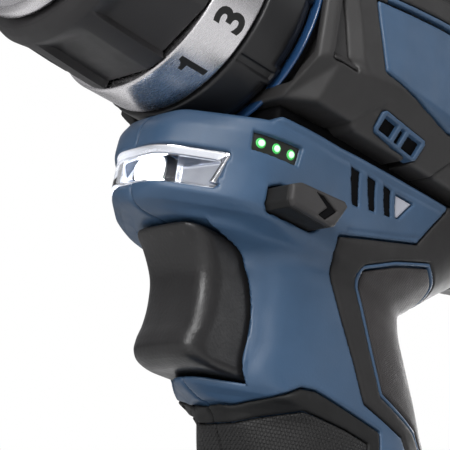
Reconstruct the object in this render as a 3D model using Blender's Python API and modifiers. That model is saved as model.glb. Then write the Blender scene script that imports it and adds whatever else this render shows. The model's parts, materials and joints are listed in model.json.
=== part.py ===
"""Cordless drill driver: clamshell housing, planetary gearbox, torque clutch, keyless chuck, slide-in battery.

Sizes are millimetres; MM turns them into metres where a mesh is made. Places are given from the
centre of the numbered ring's rear edge, on the spindle axis: x runs rearwards, y to the
operator's right and z up. world() moves them into the part's frame, whose origin is the middle
of the battery's flat underside.
"""

import math

import bmesh
import bpy
from mathutils import Vector

MM = 0.001

# Driving dimensions
AXIS_HEIGHT = 195.0  # spindle axis above the battery's underside
BATTERY_MID = 57.0  # middle of the battery, behind the numbered ring's rear edge
GAP = 0.3  # between pieces that touch
RUN = 0.5  # round a piece that moves
WALL = 3.0  # housing wall
SKIN = 1.6  # rubber and trim let into the housing wall
ROUND = 30  # facets round a large turned piece
SMALL_ROUND = 16  # facets round a small one

RING_RADIUS = 26.0
COLLAR_LENGTH = 11.0
SLEEVE_FRONT, SLEEVE_REAR = -32.4, -11.6
NOSE_FRONT = -36.0
BARREL_FRONT, BARREL_REAR = 13.0, 107.4
NECK_RIM = -27.6  # top of the neck in front of the barrel
CAP_REAR = 126.0

BATTERY_HALF_LENGTH, BATTERY_HALF_WIDTH, BATTERY_TOP = 55.0, 38.0, -147.0
BATTERY_SPLIT, BATTERY_EDGE = -165.0, 1.6
CELL_RADIUS, CELL_LENGTH, CELL_COUNT, CELL_PITCH = 9.15, 65.0, 5, 19.2
RAIL_HALF_WIDTH, RAIL_NECK, RAIL_TOP, RAIL_STEP = 20.0, 17.2, -141.0, -144.2

MODULE, SUN_TEETH, PLANET_TEETH, RING_TEETH = 0.8, 12, 18, 48
PLANET_COUNT = 3
PLANET_ORBIT = MODULE * (SUN_TEETH + PLANET_TEETH) / 2
GEAR_FRONT, GEAR_REAR = 25.5, 34.5
PIN_RADIUS = 2.3

CASE_RADIUS = 24.3
CHUCK_BODY = 17.6
BUMPER_FLOOR, BUMPER_REAR = -19.0, 19.5
TRIGGER_HALF = 9.4
LENS_TOP, LENS_BOTTOM, LENS_REAR = -35.6, -42.6, 4.2
CELL_HEIGHT = -178.5
FAN_BLADES = 9
SPRING_TURNS, SPRING_STEPS, SPRING_FRONT, SPRING_REAR = 3.5, 10, -3.4, 8.6

JAW_RADIUS, JAW_LENGTH, JAW_TIP_RADIUS, JAW_TIP_X = 2.8, 18.0, 7.4, -32.0
JAW_SLOPE = math.radians(20)

# Barrel sections: x, half width, bottom, top, squareness
BARREL = [
    (BARREL_FRONT, 28.0, -28.0, 28.5, 2.1),
    (17.0, 29.5, -29.0, 30.5, 2.4),
    (24.0, 32.0, -30.0, 33.0, 2.9),
    (40.0, 33.0, -30.0, 34.0, 3.1),
    (75.0, 33.0, -29.0, 34.0, 3.1),
    (95.0, 31.5, -27.0, 33.0, 2.9),
    (BARREL_REAR, 29.5, -25.0, 31.0, 2.7),
]
REAR_CAP = [
    (BARREL_REAR + GAP, 29.5, -25.0, 31.0, 2.7),
    (118.0, 26.5, -22.0, 28.0, 2.6),
    (CAP_REAR, 20.0, -16.0, 22.0, 2.5),
]
# Neck and grip sections: z, front, rear, half width, squareness
GRIP = [
    (-24.0, -1.0, 98.0, 24.0, 3.0),
    (-33.0, -4.0, 88.0, 22.0, 3.0),
    (-38.0, -4.0, 80.0, 21.5, 3.0),
    (-43.0, -3.0, 73.0, 20.0, 2.9),
    (-46.8, 1.0, 68.0, 17.5, 2.8),
    (-50.0, 13.0, 66.5, 17.0, 2.8),
    (-57.0, 19.0, 70.0, 17.0, 2.8),
    (-66.0, 20.0, 76.0, 17.0, 2.8),
    (-74.0, 17.0, 81.0, 17.0, 2.8),
    (-78.0, 25.0, 83.5, 17.3, 2.8),
    (-86.0, 31.0, 86.5, 17.5, 2.8),
    (-100.0, 35.0, 89.0, 18.0, 2.8),
    (-115.0, 38.0, 91.0, 18.5, 2.8),
    (-127.0, 36.0, 95.0, 21.0, 2.8),
]
FOOT = [
    (-120.0, 42.0, 84.0, 16.2, 2.8),
    (-129.0, 24.0, 99.0, 30.0, 3.4),
    (-134.0, 12.0, 104.0, 36.5, 4.0),
    (-146.6, 8.0, 106.0, 37.5, 4.5),
]
SECTION_POINTS = 26

# Outlines in x and z, seen from the operator's left
RUBBER_OUTLINE = [(61.5, -29.2), (56, -36.5), (32.2, -43.2), (33, -46.4), (46.3, -64), (50.8, -70.9), (64.4, -74.4),
                  (68, -80), (70, -93), (66, -107), (62, -107), (58, -90), (56.4, -75.4), (37, -72.4), (29.7, -75.2),
                  (25, -77.6), (15, -77.6), (18, -120.4), (106, -120.4), (106, -33), (92, -29.2)]
PANEL_OUTLINE = [(25, -15), (50, -17), (96, -12), (92, 6), (46, 6), (20.5, -1)]
TRIGGER_OUTLINE = [(5.5, -47.7), (8.8, -51.5), (10.6, -56), (11, -60.5), (10.2, -64.5), (9.6, -68.5), (10.6, -71.5),
                   (13.5, -73.3), (31, -73.3), (31, -47.7)]
VENT_COUNT, VENT_FRONT, VENT_PITCH, VENT_WIDTH, VENT_LEAN = 3, 30.8, 4.95, 2.9, 2.5
VENT_TOP, VENT_BOTTOM, VENT_RISE = -29.3, -35.6, 0.7
GAUGE_FRONT, GAUGE_REAR, GAUGE_TOP, GAUGE_BOTTOM, GAUGE_Y = 8.2, 18.4, -30.2, -34.0, -17.8
GAUGE_LIGHTS, GAUGE_PITCH, GAUGE_MIDDLE = 3, 3.4, -32.1
SCREW_HEAD = 3.2
SCREWS = [(30.0, 22.0), (98.0, 20.0), (98.0, -16.0), (47.0, -35.0), (24.0, -138.0)]


def world(x, y, z):
    return Vector(((x - BATTERY_MID) * MM, y * MM, (z + AXIS_HEIGHT) * MM))


def clear_scene():
    for found in list(bpy.data.objects):
        bpy.data.objects.remove(found, do_unlink=True)
    for name, hidden in (("cordless_drill", False), ("cutters", True)):
        group = bpy.data.collections.new(name)
        group.hide_render = hidden
        bpy.context.scene.collection.children.link(group)


def material(name, colour, roughness, metallic=0.0, alpha=1.0):
    made = bpy.data.materials.new(name)
    made.use_nodes = True
    shader = made.node_tree.nodes["Principled BSDF"]
    shader.inputs["Base Color"].default_value = (*colour, 1.0)
    shader.inputs["Roughness"].default_value = roughness
    shader.inputs["Metallic"].default_value = metallic
    shader.inputs["Alpha"].default_value = alpha
    return made


def add(name, mesh, look=None, location=None, turn=None, parent=None):
    """A part where look is given, and else a cutter."""
    made = bpy.data.objects.new(name, mesh)
    bpy.data.collections["cordless_drill" if look else "cutters"].objects.link(made)
    if look:
        made.data.materials.append(look)
    else:
        made.hide_render = True
        made.display_type = "WIRE"
    if parent:
        made.parent = parent
    if location:
        made.location = location
    if turn:
        made.rotation_euler = turn
    return made


def mesh_of(name, build):
    mesh = bpy.data.meshes.new(name)
    work = bmesh.new()
    build(work)
    bmesh.ops.recalc_face_normals(work, faces=work.faces)
    work.to_mesh(mesh)
    work.free()
    return mesh


def block(name, low, high, look=None):
    """A box between two corners given in the drill's own places."""
    size = (Vector(high) - Vector(low)) * MM

    def build(work):
        bmesh.ops.create_cube(work, size=1.0)
        bmesh.ops.scale(work, vec=size, verts=work.verts)

    middle = (Vector(low) + Vector(high)) / 2
    return add(name, mesh_of(name, build), look, world(*middle))


def rounded_block(name, low, high, look, edge):
    made = block(name, low, high, look)
    bevel = made.modifiers.new("rounded", "BEVEL")
    bevel.width = edge * MM
    bevel.segments = 1
    return made


def rod(name, start, end, radius, look=None, sides=SMALL_ROUND):
    """A cylinder from one place to another."""
    first, last = world(*start), world(*end)
    along = last - first

    def build(work):
        bmesh.ops.create_cone(work, cap_ends=True, segments=sides, radius1=radius * MM, radius2=radius * MM,
                              depth=along.length)

    made = add(name, mesh_of(name, build), look, (first + last) / 2, along.to_track_quat("Z", "Y").to_euler())
    made.data.shade_smooth()
    made.data.set_sharp_from_angle(angle=math.radians(40))
    return made


def turned(name, profile, look=None, steps=ROUND, ring=True):
    """Turns (radius, x) points about the spindle axis; they run down the outer side from the rear."""
    mesh = bpy.data.meshes.new(name)
    points = [(radius * MM, 0.0, x * MM) for radius, x in profile]
    edges = [(i, i + 1) for i in range(len(points) - 1)]
    if ring:
        edges.append((len(points) - 1, 0))
    mesh.from_pydata(points, edges, [])
    made = add(name, mesh, look, parent=bpy.data.objects["spindle_axis"])
    screw = made.modifiers.new("turned", "SCREW")
    screw.axis = "Z"
    screw.steps = steps
    screw.render_steps = steps
    screw.use_merge_vertices = True
    screw.merge_threshold = 0.00001
    screw.use_smooth_shade = False
    return made


def outline_mesh(name, outlines, thickness):
    """A flat outline, with any holes in it, given a thickness along its own z."""
    curve = bpy.data.curves.new(name, "CURVE")
    curve.dimensions = "2D"
    curve.fill_mode = "BOTH"
    curve.extrude = thickness * MM / 2
    for outline in outlines:
        spline = curve.splines.new("POLY")
        spline.points.add(len(outline) - 1)
        for point, (across, up) in zip(spline.points, outline):
            point.co = (across * MM, up * MM, 0.0, 1.0)
        spline.use_cyclic_u = True
    guide = bpy.data.objects.new(name + "_guide", curve)
    bpy.data.collections["cutters"].objects.link(guide)
    bpy.context.view_layer.update()
    raw = bpy.data.meshes.new_from_object(guide.evaluated_get(bpy.context.evaluated_depsgraph_get()))
    bpy.data.objects.remove(guide, do_unlink=True)

    def build(work):
        work.from_mesh(raw)
        bmesh.ops.remove_doubles(work, verts=work.verts, dist=0.000001)

    return mesh_of(name, build)


def side_prism(name, outline, y_low, y_high, look=None):
    """An outline in x and z carried across the drill from y_low to y_high."""
    mesh = outline_mesh(name, [outline], y_high - y_low)
    return add(name, mesh, look, world(0, (y_low + y_high) / 2, 0), (math.pi / 2, 0, 0))


def loft(name, rings, look=None):
    """A closed skin through rings of as many points each, with flat ends."""

    def build(work):
        rows = [[work.verts.new(world(*point)) for point in ring] for ring in rings]
        for row, following in zip(rows, rows[1:]):
            for i in range(len(row)):
                j = (i + 1) % len(row)
                work.faces.new((row[i], row[j], following[j], following[i]))
        work.faces.new(rows[0])
        work.faces.new(rows[-1])

    return add(name, mesh_of(name, build), look)


def superellipse(half_a, half_b, power):
    for i in range(SECTION_POINTS):
        angle = 2 * math.pi * (i + 0.5) / SECTION_POINTS
        c, s = math.cos(angle), math.sin(angle)
        yield (
            math.copysign(abs(c) ** (2 / power) * half_a, c),
            math.copysign(abs(s) ** (2 / power) * half_b, s),
        )


def along_barrel(name, sections, inset=0.0, look=None):
    """The barrel's form, or the same form smaller by inset all round."""
    rings = []
    for x, half_width, bottom, top, power in sections:
        middle = (bottom + top) / 2
        ring = superellipse(half_width - inset, (top - bottom) / 2 - inset, power)
        rings.append([(x, y, middle + z) for y, z in ring])
    return loft(name, rings, look)


def down_grip(name, sections, inset=0.0, look=None):
    rings = []
    for z, front, rear, half_width, power in sections:
        middle = (front + rear) / 2
        ring = superellipse((rear - front) / 2 - inset, half_width - inset, power)
        rings.append([(middle + x, y, z) for x, y in ring])
    return loft(name, rings, look)


def boolean(target, tool, operation):
    change = target.modifiers.new(operation.lower() + "_" + tool.name, "BOOLEAN")
    change.operation = operation
    change.object = tool
    return target


def cut(target, *tools):
    for tool in tools:
        boolean(target, tool, "DIFFERENCE")
    return target


def trim(target, *tools):
    for tool in tools:
        boolean(target, tool, "INTERSECT")
    return target


def fuse(target, *tools):
    for tool in tools:
        boolean(target, tool, "UNION")
    return target


def grown(outline, distance):
    """The outline moved outwards by distance, corner by corner."""
    area = sum(a[0] * b[1] - b[0] * a[1] for a, b in zip(outline, outline[1:] + outline[:1]))
    side = math.copysign(distance, area)
    moved = []
    for i, point in enumerate(outline):
        here = Vector(point)
        before = (here - Vector(outline[i - 1])).normalized()
        after = (Vector(outline[(i + 1) % len(outline)]) - here).normalized()
        first, second = Vector((before.y, -before.x)), Vector((after.y, -after.x))
        outward = (first + second).normalized()
        moved.append(tuple(here + outward * side / max(outward.dot(first), 0.4)))
    return moved


def half_space(name, side):
    """Everything on one side of the joint between the housing halves; side is -1 or 1."""
    low, high = sorted((side * GAP / 2, side * 80.0))
    return block(name, (-60, low, -220), (160, high, 60))


def let_in(name, form, sections, region, side, look):
    """A skin of one side of a form inside a region outline, and the recess it lies in."""
    full = form(name + "_full", sections)
    under = form(name + "_under", sections, SKIN)
    floor = form(name + "_floor", sections, SKIN + GAP)
    low, high = sorted((side * GAP, side * 60.0))
    piece = side_prism(name, region, low, high, look)
    trim(piece, full)
    cut(piece, under)
    low, high = sorted((side * -5.0, side * 61.0))
    recess = cut(side_prism(name + "_recess", grown(region, GAP), low, high), floor)
    return piece, recess


def gear_outline(teeth, turn=0.0, internal=False):
    """Tooth flanks of a spur gear as three straight stretches a side, thinned for backlash."""
    pitch = MODULE * teeth / 2
    base = pitch * math.cos(math.radians(20))
    low, high = (0.8, 1.1) if internal else (1.1, 0.8)
    backlash = 0.11 / pitch
    radii = [pitch - low * MODULE, pitch, pitch + high * MODULE]

    def half_angle(radius):
        roll = math.acos(base / max(radius, base))
        start = math.radians(20)
        involute = (math.tan(roll) - roll) - (math.tan(start) - start)
        quarter = math.pi / (2 * teeth)
        return quarter - involute + (backlash if internal else -backlash)

    points = []
    for tooth in range(teeth):
        middle = turn + 2 * math.pi * tooth / teeth
        for side, order in ((-1, radii), (1, radii[::-1])):
            for radius in order:
                angle = middle + side * half_angle(radius)
                points.append((radius * math.cos(angle), radius * math.sin(angle)))
    return points


def circle(radius, sides=SMALL_ROUND):
    return [
        (radius * math.cos(2 * math.pi * i / sides), radius * math.sin(2 * math.pi * i / sides))
        for i in range(sides)
    ]


def on_axis(name, outlines, front, rear, look, across=0.0, up=0.0):
    """A flat outline about a line parallel to the spindle, between two places along it."""
    mesh = outline_mesh(name, outlines, rear - front)
    spindle = bpy.data.objects["spindle_axis"]
    return add(name, mesh, look, (-up * MM, across * MM, (front + rear) / 2 * MM), parent=spindle)


def make_looks():
    return {
        "blue": material("blue_plastic", (0.07, 0.125, 0.25), 0.45),
        "black": material("black_plastic", (0.02, 0.02, 0.022), 0.4),
        "rubber": material("grip_rubber", (0.03, 0.03, 0.032), 0.75),
        "grey": material("dark_grey_plastic", (0.06, 0.06, 0.065), 0.5),
        "silver": material("silver_ring", (0.7, 0.68, 0.7), 0.25, 1.0),
        "steel": material("steel", (0.5, 0.5, 0.52), 0.3, 1.0),
        "brass": material("brass", (0.7, 0.5, 0.2), 0.3, 1.0),
        "magnet": material("magnet", (0.08, 0.08, 0.09), 0.5, 0.5),
        "copper": material("winding", (0.6, 0.25, 0.1), 0.4, 1.0),
        "clear": material("clear_lens", (0.85, 0.88, 0.9), 0.05, 0.0, 0.35),
        "lamp": material("lamp", (0.95, 0.96, 1.0), 0.3),
        "green": material("gauge_light", (0.2, 0.9, 0.35), 0.3),
        "board": material("circuit_board", (0.03, 0.12, 0.06), 0.5),
        "wrap": material("cell_wrap", (0.1, 0.35, 0.3), 0.4),
    }


def housing_recesses(looks):
    """The skins let into the housing, with one recess for each."""
    recesses = {-1: [], 1: []}
    for side, word in ((-1, "left"), (1, "right")):
        for name, form, sections, region, look in (
            ("grip_rubber_", down_grip, GRIP, RUBBER_OUTLINE, "rubber"),
            ("side_panel_", along_barrel, BARREL, PANEL_OUTLINE, "blue"),
        ):
            _, recess = let_in(name + word, form, sections, region, side, looks[look])
            recesses[side].append(recess)
    return recesses


def make_housing(looks):
    recesses = housing_recesses(looks)
    bumper = along_barrel("front_bumper", BARREL, 0.0, looks["grey"])
    trim(bumper, block("bumper_span", (5, -60, BUMPER_FLOOR + GAP), (BUMPER_REAR, 60, 60)))
    cut(bumper, rod("bumper_bore", (5, 0, 0), (30, 0, 0), CASE_RADIUS + 0.9, sides=ROUND))
    openings = [
        rod("nose_opening", (5, 0, 0), (28, 0, 0), CASE_RADIUS + RUN, sides=ROUND),
        block("collar_room", (-20, -60, NECK_RIM), (BARREL_FRONT + 0.1, 60, 60)),
        block("bumper_seat", (5, -60, BUMPER_FLOOR), (BUMPER_REAR + GAP, 60, 60)),
        block("trigger_opening", (-10, -TRIGGER_HALF - RUN, -73.9), (39, TRIGGER_HALF + RUN, -47.2)),
        block("direction_opening", (12.8, -60, -45.0), (31.6, 60, -37.6)),
        block("selector_opening", (38.5, -8.5, 20), (66.5, 8.5, 60)),
        block("gauge_opening", (GAUGE_FRONT, -60, GAUGE_BOTTOM), (GAUGE_REAR, GAUGE_Y + 3.5, GAUGE_TOP)),
        block("lens_opening", (-20, -17, LENS_BOTTOM - GAP), (LENS_REAR + GAP, 17, LENS_TOP + GAP)),
        block("rail_opening", (-20, -RAIL_NECK - RUN, -160), (102, RAIL_NECK + RUN, RAIL_STEP)),
        block("rail_groove", (-20, -RAIL_HALF_WIDTH - RUN, RAIL_STEP - RUN),
              (102, RAIL_HALF_WIDTH + RUN, RAIL_TOP + RUN)),
        block("foot_room", (30, -14.7, -141), (96, 14.7, -131.3)),
    ]
    for i in range(VENT_COUNT):
        front, foot = VENT_FRONT + i * VENT_PITCH, VENT_BOTTOM + i * VENT_RISE
        slot = [(front, VENT_TOP), (front + VENT_WIDTH, VENT_TOP),
                (front + VENT_LEAN + VENT_WIDTH, foot), (front + VENT_LEAN, foot)]
        openings.append(side_prism("vent", slot, -60, 60))
    for x, z in SCREWS:
        openings.append(rod("screw_hole", (x, 5, z), (x, 60, z), SCREW_HEAD + GAP, sides=12))
    for side, word in ((-1, "left"), (1, "right")):
        shell = along_barrel("housing_" + word, BARREL, 0.0, looks["blue"])
        fuse(shell, down_grip("grip_form_" + word, GRIP), down_grip("foot_form_" + word, FOOT))
        hollow = [BARREL[2], BARREL[3], BARREL[4], BARREL[5], (BARREL_REAR + 5, *BARREL[6][1:])]
        cut(shell, along_barrel("barrel_hollow_" + word, hollow, WALL),
            down_grip("grip_hollow_" + word, GRIP[:-1] + [(-132.2, 37.0, 88.0, 21.0, 2.8)], WALL + 1.0))
        trim(shell, half_space("half_" + word, side))
        cut(shell, *openings, *recesses[side])
    cap = along_barrel("rear_cap", REAR_CAP, 0.0, looks["black"])
    cut(cap, along_barrel("cap_hollow", [(x - 3.5, *rest) for x, *rest in REAR_CAP], WALL))
    for row in range(4):
        z = 12 - row * 6
        cut(cap, block("cap_vent", (105, -50, z - 1.2), (118, 50, z + 1.2)))
    for i, (x, z) in enumerate(SCREWS):
        make_screw(f"housing_screw_{i + 1}", x, z, looks["steel"])


def surface_y(x, z):
    """How far the housing's side stands out at a place, from the barrel's or the grip's sections."""
    def between(sections, where):
        for low, high in zip(sections, sections[1:]):
            if min(low[0], high[0]) <= where <= max(low[0], high[0]):
                share = (where - low[0]) / (high[0] - low[0])
                return [a + (b - a) * share for a, b in zip(low, high)]
        return None

    reach = 0.0
    barrel = between(BARREL, x)
    if barrel and barrel[2] < z < barrel[3]:
        up = abs(z - (barrel[2] + barrel[3]) / 2) / ((barrel[3] - barrel[2]) / 2)
        reach = barrel[1] * (1 - up ** barrel[4]) ** (1 / barrel[4])
    for sections in (GRIP, FOOT):
        row = between(sections, z)
        if row and row[1] < x < row[2]:
            along = abs(x - (row[1] + row[2]) / 2) / ((row[2] - row[1]) / 2)
            reach = max(reach, row[3] * (1 - along ** row[4]) ** (1 / row[4]))
    return reach


def make_screw(name, x, z, look):
    head = surface_y(x, z) - 4.5
    screw = rod(name, (x, head - 2.4, z), (x, head, z), SCREW_HEAD, look, sides=12)
    fuse(screw, rod(name + "_shank", (x, head - 1.0, z), (x, max(head - 12, 0.6), z), 1.5, sides=10))


def make_lights(looks):
    """The work light behind its wrap-round lens, and the battery gauge."""
    lens = down_grip("work_light_lens", GRIP, 0.4, looks["clear"])
    trim(lens, block("lens_span", (-20, -16.7, LENS_BOTTOM), (LENS_REAR, 16.7, LENS_TOP)))
    cut(lens, down_grip("lens_under", GRIP, 2.2))
    middle = (LENS_TOP + LENS_BOTTOM) / 2
    lamp = rounded_block("work_light", (2.4, -8, LENS_BOTTOM), (4.0, 8, LENS_TOP), looks["board"], 0.3)
    fuse(lamp, rod("work_light_dome", (-0.6, 0, middle), (3, 0, middle), 2.8))
    gauge = block("battery_gauge", (GAUGE_FRONT + GAP, GAUGE_Y + 1.0, GAUGE_BOTTOM + GAP),
                  (GAUGE_REAR - GAP, GAUGE_Y + 3.2, GAUGE_TOP - GAP), looks["board"])
    for i in range(GAUGE_LIGHTS):
        x = (GAUGE_FRONT + GAUGE_REAR) / 2 + (i - 1) * GAUGE_PITCH
        fuse(gauge, rod("gauge_light", (x, GAUGE_Y, GAUGE_MIDDLE), (x, GAUGE_Y + 2, GAUGE_MIDDLE), 1.1, sides=12))


def make_controls(looks):
    trigger = side_prism("trigger", TRIGGER_OUTLINE, -TRIGGER_HALF, TRIGGER_HALF, looks["black"])
    weld = trigger.modifiers.new("weld", "WELD")
    weld.merge_threshold = 0.00001
    bevel = trigger.modifiers.new("rounded", "BEVEL")
    bevel.width = 2.6 * MM
    bevel.segments = 2
    bevel.limit_method = "ANGLE"
    bevel.angle_limit = math.radians(60)
    switch = rounded_block("trigger_switch", (38.8, -8, -70), (54, 8, -48), looks["black"], 1.0)
    cut(switch, rod("plunger_bore", (36, 0, -58), (51, 0, -58), 2.6, sides=12))
    rod("switch_plunger", (31 + GAP, 0, -58), (42, 0, -58), 2.0, looks["steel"], sides=12)
    rounded_block("direction_button", (13.3, -26.3, -44.6), (31.1, 20.3, -38.0), looks["black"], 1.2)
    selector = block("speed_selector", (39.0, -8, 27.6), (57.0, 8, 33.0), looks["black"])
    for i in range(3):
        x = 42 + i * 5
        fuse(selector, block("selector_grip", (x, -7, 32), (x + 3, 7, 36)))


def make_motor(looks):
    turned("motor_can", [(21.5, 92), (21.5, 42), (5.6, 42), (5.6, 44), (19.3, 44), (19.3, 92)], looks["grey"])
    turned("motor_stator", [(19.0, 86), (19.0, 50), (15.0, 50), (15.0, 86)], looks["copper"])
    turned("motor_rotor", [(14.4, 86), (14.4, 50), (2.8, 50), (2.8, 86)], looks["steel"])
    turned("motor_shaft", [(0, 106), (2.5, 106), (2.5, 37), (1.6, 37), (1.6, 25.0), (0, 25.0)], looks["steel"],
           SMALL_ROUND, ring=False)
    turned("motor_front_bearing", [(5.3, 47), (5.3, 42.3), (2.8, 42.3), (2.8, 47)], looks["steel"], SMALL_ROUND)
    turned("motor_rear_bearing", [(8.0, 106), (8.0, 101.5), (2.8, 101.5), (2.8, 106)], looks["steel"], SMALL_ROUND)
    blades = []
    for i in range(FAN_BLADES):
        middle = 2 * math.pi * i / FAN_BLADES
        for radius, half in ((6.5, 0.25), (18.0, 0.12)):
            blades.append((radius * math.cos(middle - half), radius * math.sin(middle - half)))
        for radius, half in ((18.0, 0.12), (6.5, 0.25)):
            blades.append((radius * math.cos(middle + half), radius * math.sin(middle + half)))
    on_axis("cooling_fan", [blades, circle(2.8)], 93.5, 99.5, looks["grey"])


def make_gearbox(looks):
    turned("gear_case", [(CASE_RADIUS, 41), (CASE_RADIUS, 12.5), (14.5, 12.5), (14.5, -8), (12.0, -8), (12.0, 15.5),
                         (22.2, 15.5), (22.2, 41)], looks["grey"])
    half_pitch = math.pi / PLANET_TEETH
    on_axis("motor_pinion", [gear_outline(SUN_TEETH), circle(1.9, 12)], GEAR_FRONT, GEAR_REAR + 1, looks["steel"])
    on_axis("ring_gear", [gear_outline(RING_TEETH, math.pi / RING_TEETH, True), circle(21.9, ROUND)], GEAR_FRONT, GEAR_REAR,
            looks["steel"])
    carrier = turned("planet_carrier", [(0, 24.8), (17.0, 24.8), (17.0, 19.0), (0, 19.0)], looks["steel"], ring=False)
    for i in range(PLANET_COUNT):
        around = 2 * math.pi * i / PLANET_COUNT
        across, up = PLANET_ORBIT * math.sin(around), -PLANET_ORBIT * math.cos(around)
        on_axis(f"planet_gear_{i + 1}", [gear_outline(PLANET_TEETH, around + half_pitch), circle(PIN_RADIUS + 0.1)],
                GEAR_FRONT, GEAR_REAR, looks["steel"], across, up)
        fuse(carrier, rod("planet_pin", (22, across, up), (GEAR_REAR + 1, across, up), PIN_RADIUS))
    turned("spindle", [(0, 18.7), (6.0, 18.7), (6.0, -13.0), (0, -13.0)], looks["steel"], SMALL_ROUND, ring=False)
    turned("spindle_bearing", [(11.7, 10), (11.7, 2), (6.3, 2), (6.3, 10)], looks["steel"], SMALL_ROUND)


def make_clutch(looks):
    turned("torque_collar", [(26.6, COLLAR_LENGTH), (26.6, 0), (22.3, 0), (22.3, -10.8), (20.4, -10.8),
                             (20.4, COLLAR_LENGTH)], looks["black"])
    turned("numbered_ring", [(RING_RADIUS, -GAP), (RING_RADIUS, -10.8), (22.6, -10.8), (22.6, -GAP)],
           looks["silver"])
    turned("accent_ring", [(28.1, 12.7), (28.1, 11.5), (CASE_RADIUS + 0.6, 11.5), (CASE_RADIUS + 0.6, 12.7)],
           looks["blue"])
    curve = bpy.data.curves.new("clutch_spring", "CURVE")
    curve.dimensions = "3D"
    curve.bevel_depth = 1.1 * MM
    curve.bevel_resolution = 2
    curve.use_fill_caps = True
    steps = int(SPRING_TURNS * SPRING_STEPS)
    spline = curve.splines.new("POLY")
    spline.points.add(steps)
    for i, point in enumerate(spline.points):
        angle = 2 * math.pi * i / SPRING_STEPS
        along = SPRING_FRONT + (SPRING_REAR - SPRING_FRONT) * i / steps
        point.co = (17.4 * math.cos(angle) * MM, 17.4 * math.sin(angle) * MM, along * MM, 1.0)
    add("clutch_spring", curve, looks["steel"], parent=bpy.data.objects["spindle_axis"])


def make_chuck(looks):
    body = turned("chuck_body", [
        (12.0, -9.5), (CHUCK_BODY, -11.6), (CHUCK_BODY, -32.6), (4.6, -32.6), (4.6, -13.3), (6.3, -13.3),
        (6.3, -9.5)], looks["steel"])
    turned("chuck_sleeve", [(24.6, SLEEVE_REAR), (25.0, -14), (24.6, -24), (24.0, -29.2), (23.3, SLEEVE_FRONT),
                            (18.1, SLEEVE_FRONT), (18.1, SLEEVE_REAR)], looks["black"])
    turned("nose_ring", [(22.0, SLEEVE_FRONT - GAP), (21.5, -35), (20.6, NOSE_FRONT), (18.6, NOSE_FRONT),
                         (18.1, SLEEVE_FRONT - GAP)], looks["silver"])
    for i in range(3):
        around = 2 * math.pi * i / 3
        out = (math.sin(around), math.cos(around))

        def at(distance, radius=JAW_TIP_RADIUS):
            reach = radius + distance * math.sin(JAW_SLOPE)
            return (JAW_TIP_X + distance * math.cos(JAW_SLOPE), out[0] * reach, out[1] * reach)

        rod(f"chuck_jaw_{i + 1}", at(0), at(JAW_LENGTH), JAW_RADIUS, looks["steel"], sides=12)
        cut(body, rod("jaw_channel", at(-20), at(JAW_LENGTH + 2), JAW_RADIUS + 0.25, sides=12))


def make_battery(looks):
    front, rear = BATTERY_MID - BATTERY_HALF_LENGTH, BATTERY_MID + BATTERY_HALF_LENGTH
    tub = rounded_block("battery_case", (front, -BATTERY_HALF_WIDTH, -AXIS_HEIGHT),
                        (rear, BATTERY_HALF_WIDTH, BATTERY_SPLIT), looks["black"], BATTERY_EDGE)
    cut(tub, block("battery_room", (front + WALL, -35, -AXIS_HEIGHT + WALL), (rear - WALL, 35, BATTERY_SPLIT + 10)))
    lid = rounded_block("battery_cover", (front, -BATTERY_HALF_WIDTH, BATTERY_SPLIT + GAP),
                        (rear, BATTERY_HALF_WIDTH, BATTERY_TOP), looks["black"], BATTERY_EDGE)
    cut(lid, block("cover_room", (front + 10, -35, BATTERY_SPLIT - 5), (rear - WALL, 35, BATTERY_TOP - WALL)),
        block("button_pocket", (front - 5, -14.4, -160.4), (front + 7.5, 14.4, -149.6)))
    fuse(lid, block("rail_neck", (15, -RAIL_NECK, BATTERY_TOP - 1), (100, RAIL_NECK, RAIL_STEP + 0.1)),
         block("rail_head", (15, -RAIL_HALF_WIDTH, RAIL_STEP), (100, RAIL_HALF_WIDTH, RAIL_TOP)))
    rounded_block("battery_release", (front - 1.5, -14, -160), (front + 4.0, 14, -150), looks["grey"], 1.0)
    for i in range(CELL_COUNT):
        x = BATTERY_MID + (i - (CELL_COUNT - 1) / 2) * CELL_PITCH
        rod(f"battery_cell_{i + 1}", (x, -CELL_LENGTH / 2, CELL_HEIGHT), (x, CELL_LENGTH / 2, CELL_HEIGHT),
            CELL_RADIUS, looks["wrap"])
    rounded_block("cell_board", (20, -30, -161.5), (94, 30, -160), looks["board"], 0.3)
    rounded_block("controller_board", (46, -11, -130), (78, 11, -128), looks["board"], 0.3)
    rounded_block("terminal_block", (60, -14, -139.8), (92, 14, -134), looks["black"], 0.8)


def main():
    clear_scene()
    axis = bpy.data.objects.new("spindle_axis", None)
    bpy.data.collections["cordless_drill"].objects.link(axis)
    axis.location = world(0, 0, 0)
    axis.rotation_euler = (0, math.pi / 2, 0)
    bpy.context.view_layer.update()
    looks = make_looks()
    make_housing(looks)
    make_lights(looks)
    make_controls(looks)
    make_motor(looks)
    make_gearbox(looks)
    make_clutch(looks)
    make_chuck(looks)
    make_battery(looks)


main()
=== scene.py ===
"""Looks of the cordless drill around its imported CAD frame.

Shapes are worked out in millimetres from the ring centre: the middle, on the spindle axis, of the
numbered ring's rear edge. x runs rearwards, y to the operator's right, z up. Moulded pieces are
fields, negative inside and about one per millimetre, that sculpt() turns into meshes. Turned
pieces are outlines carried round the spindle axis by around().
"""

import json
import math

import bmesh
import bpy
import numpy as np
from mathutils import Matrix, Vector


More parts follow.
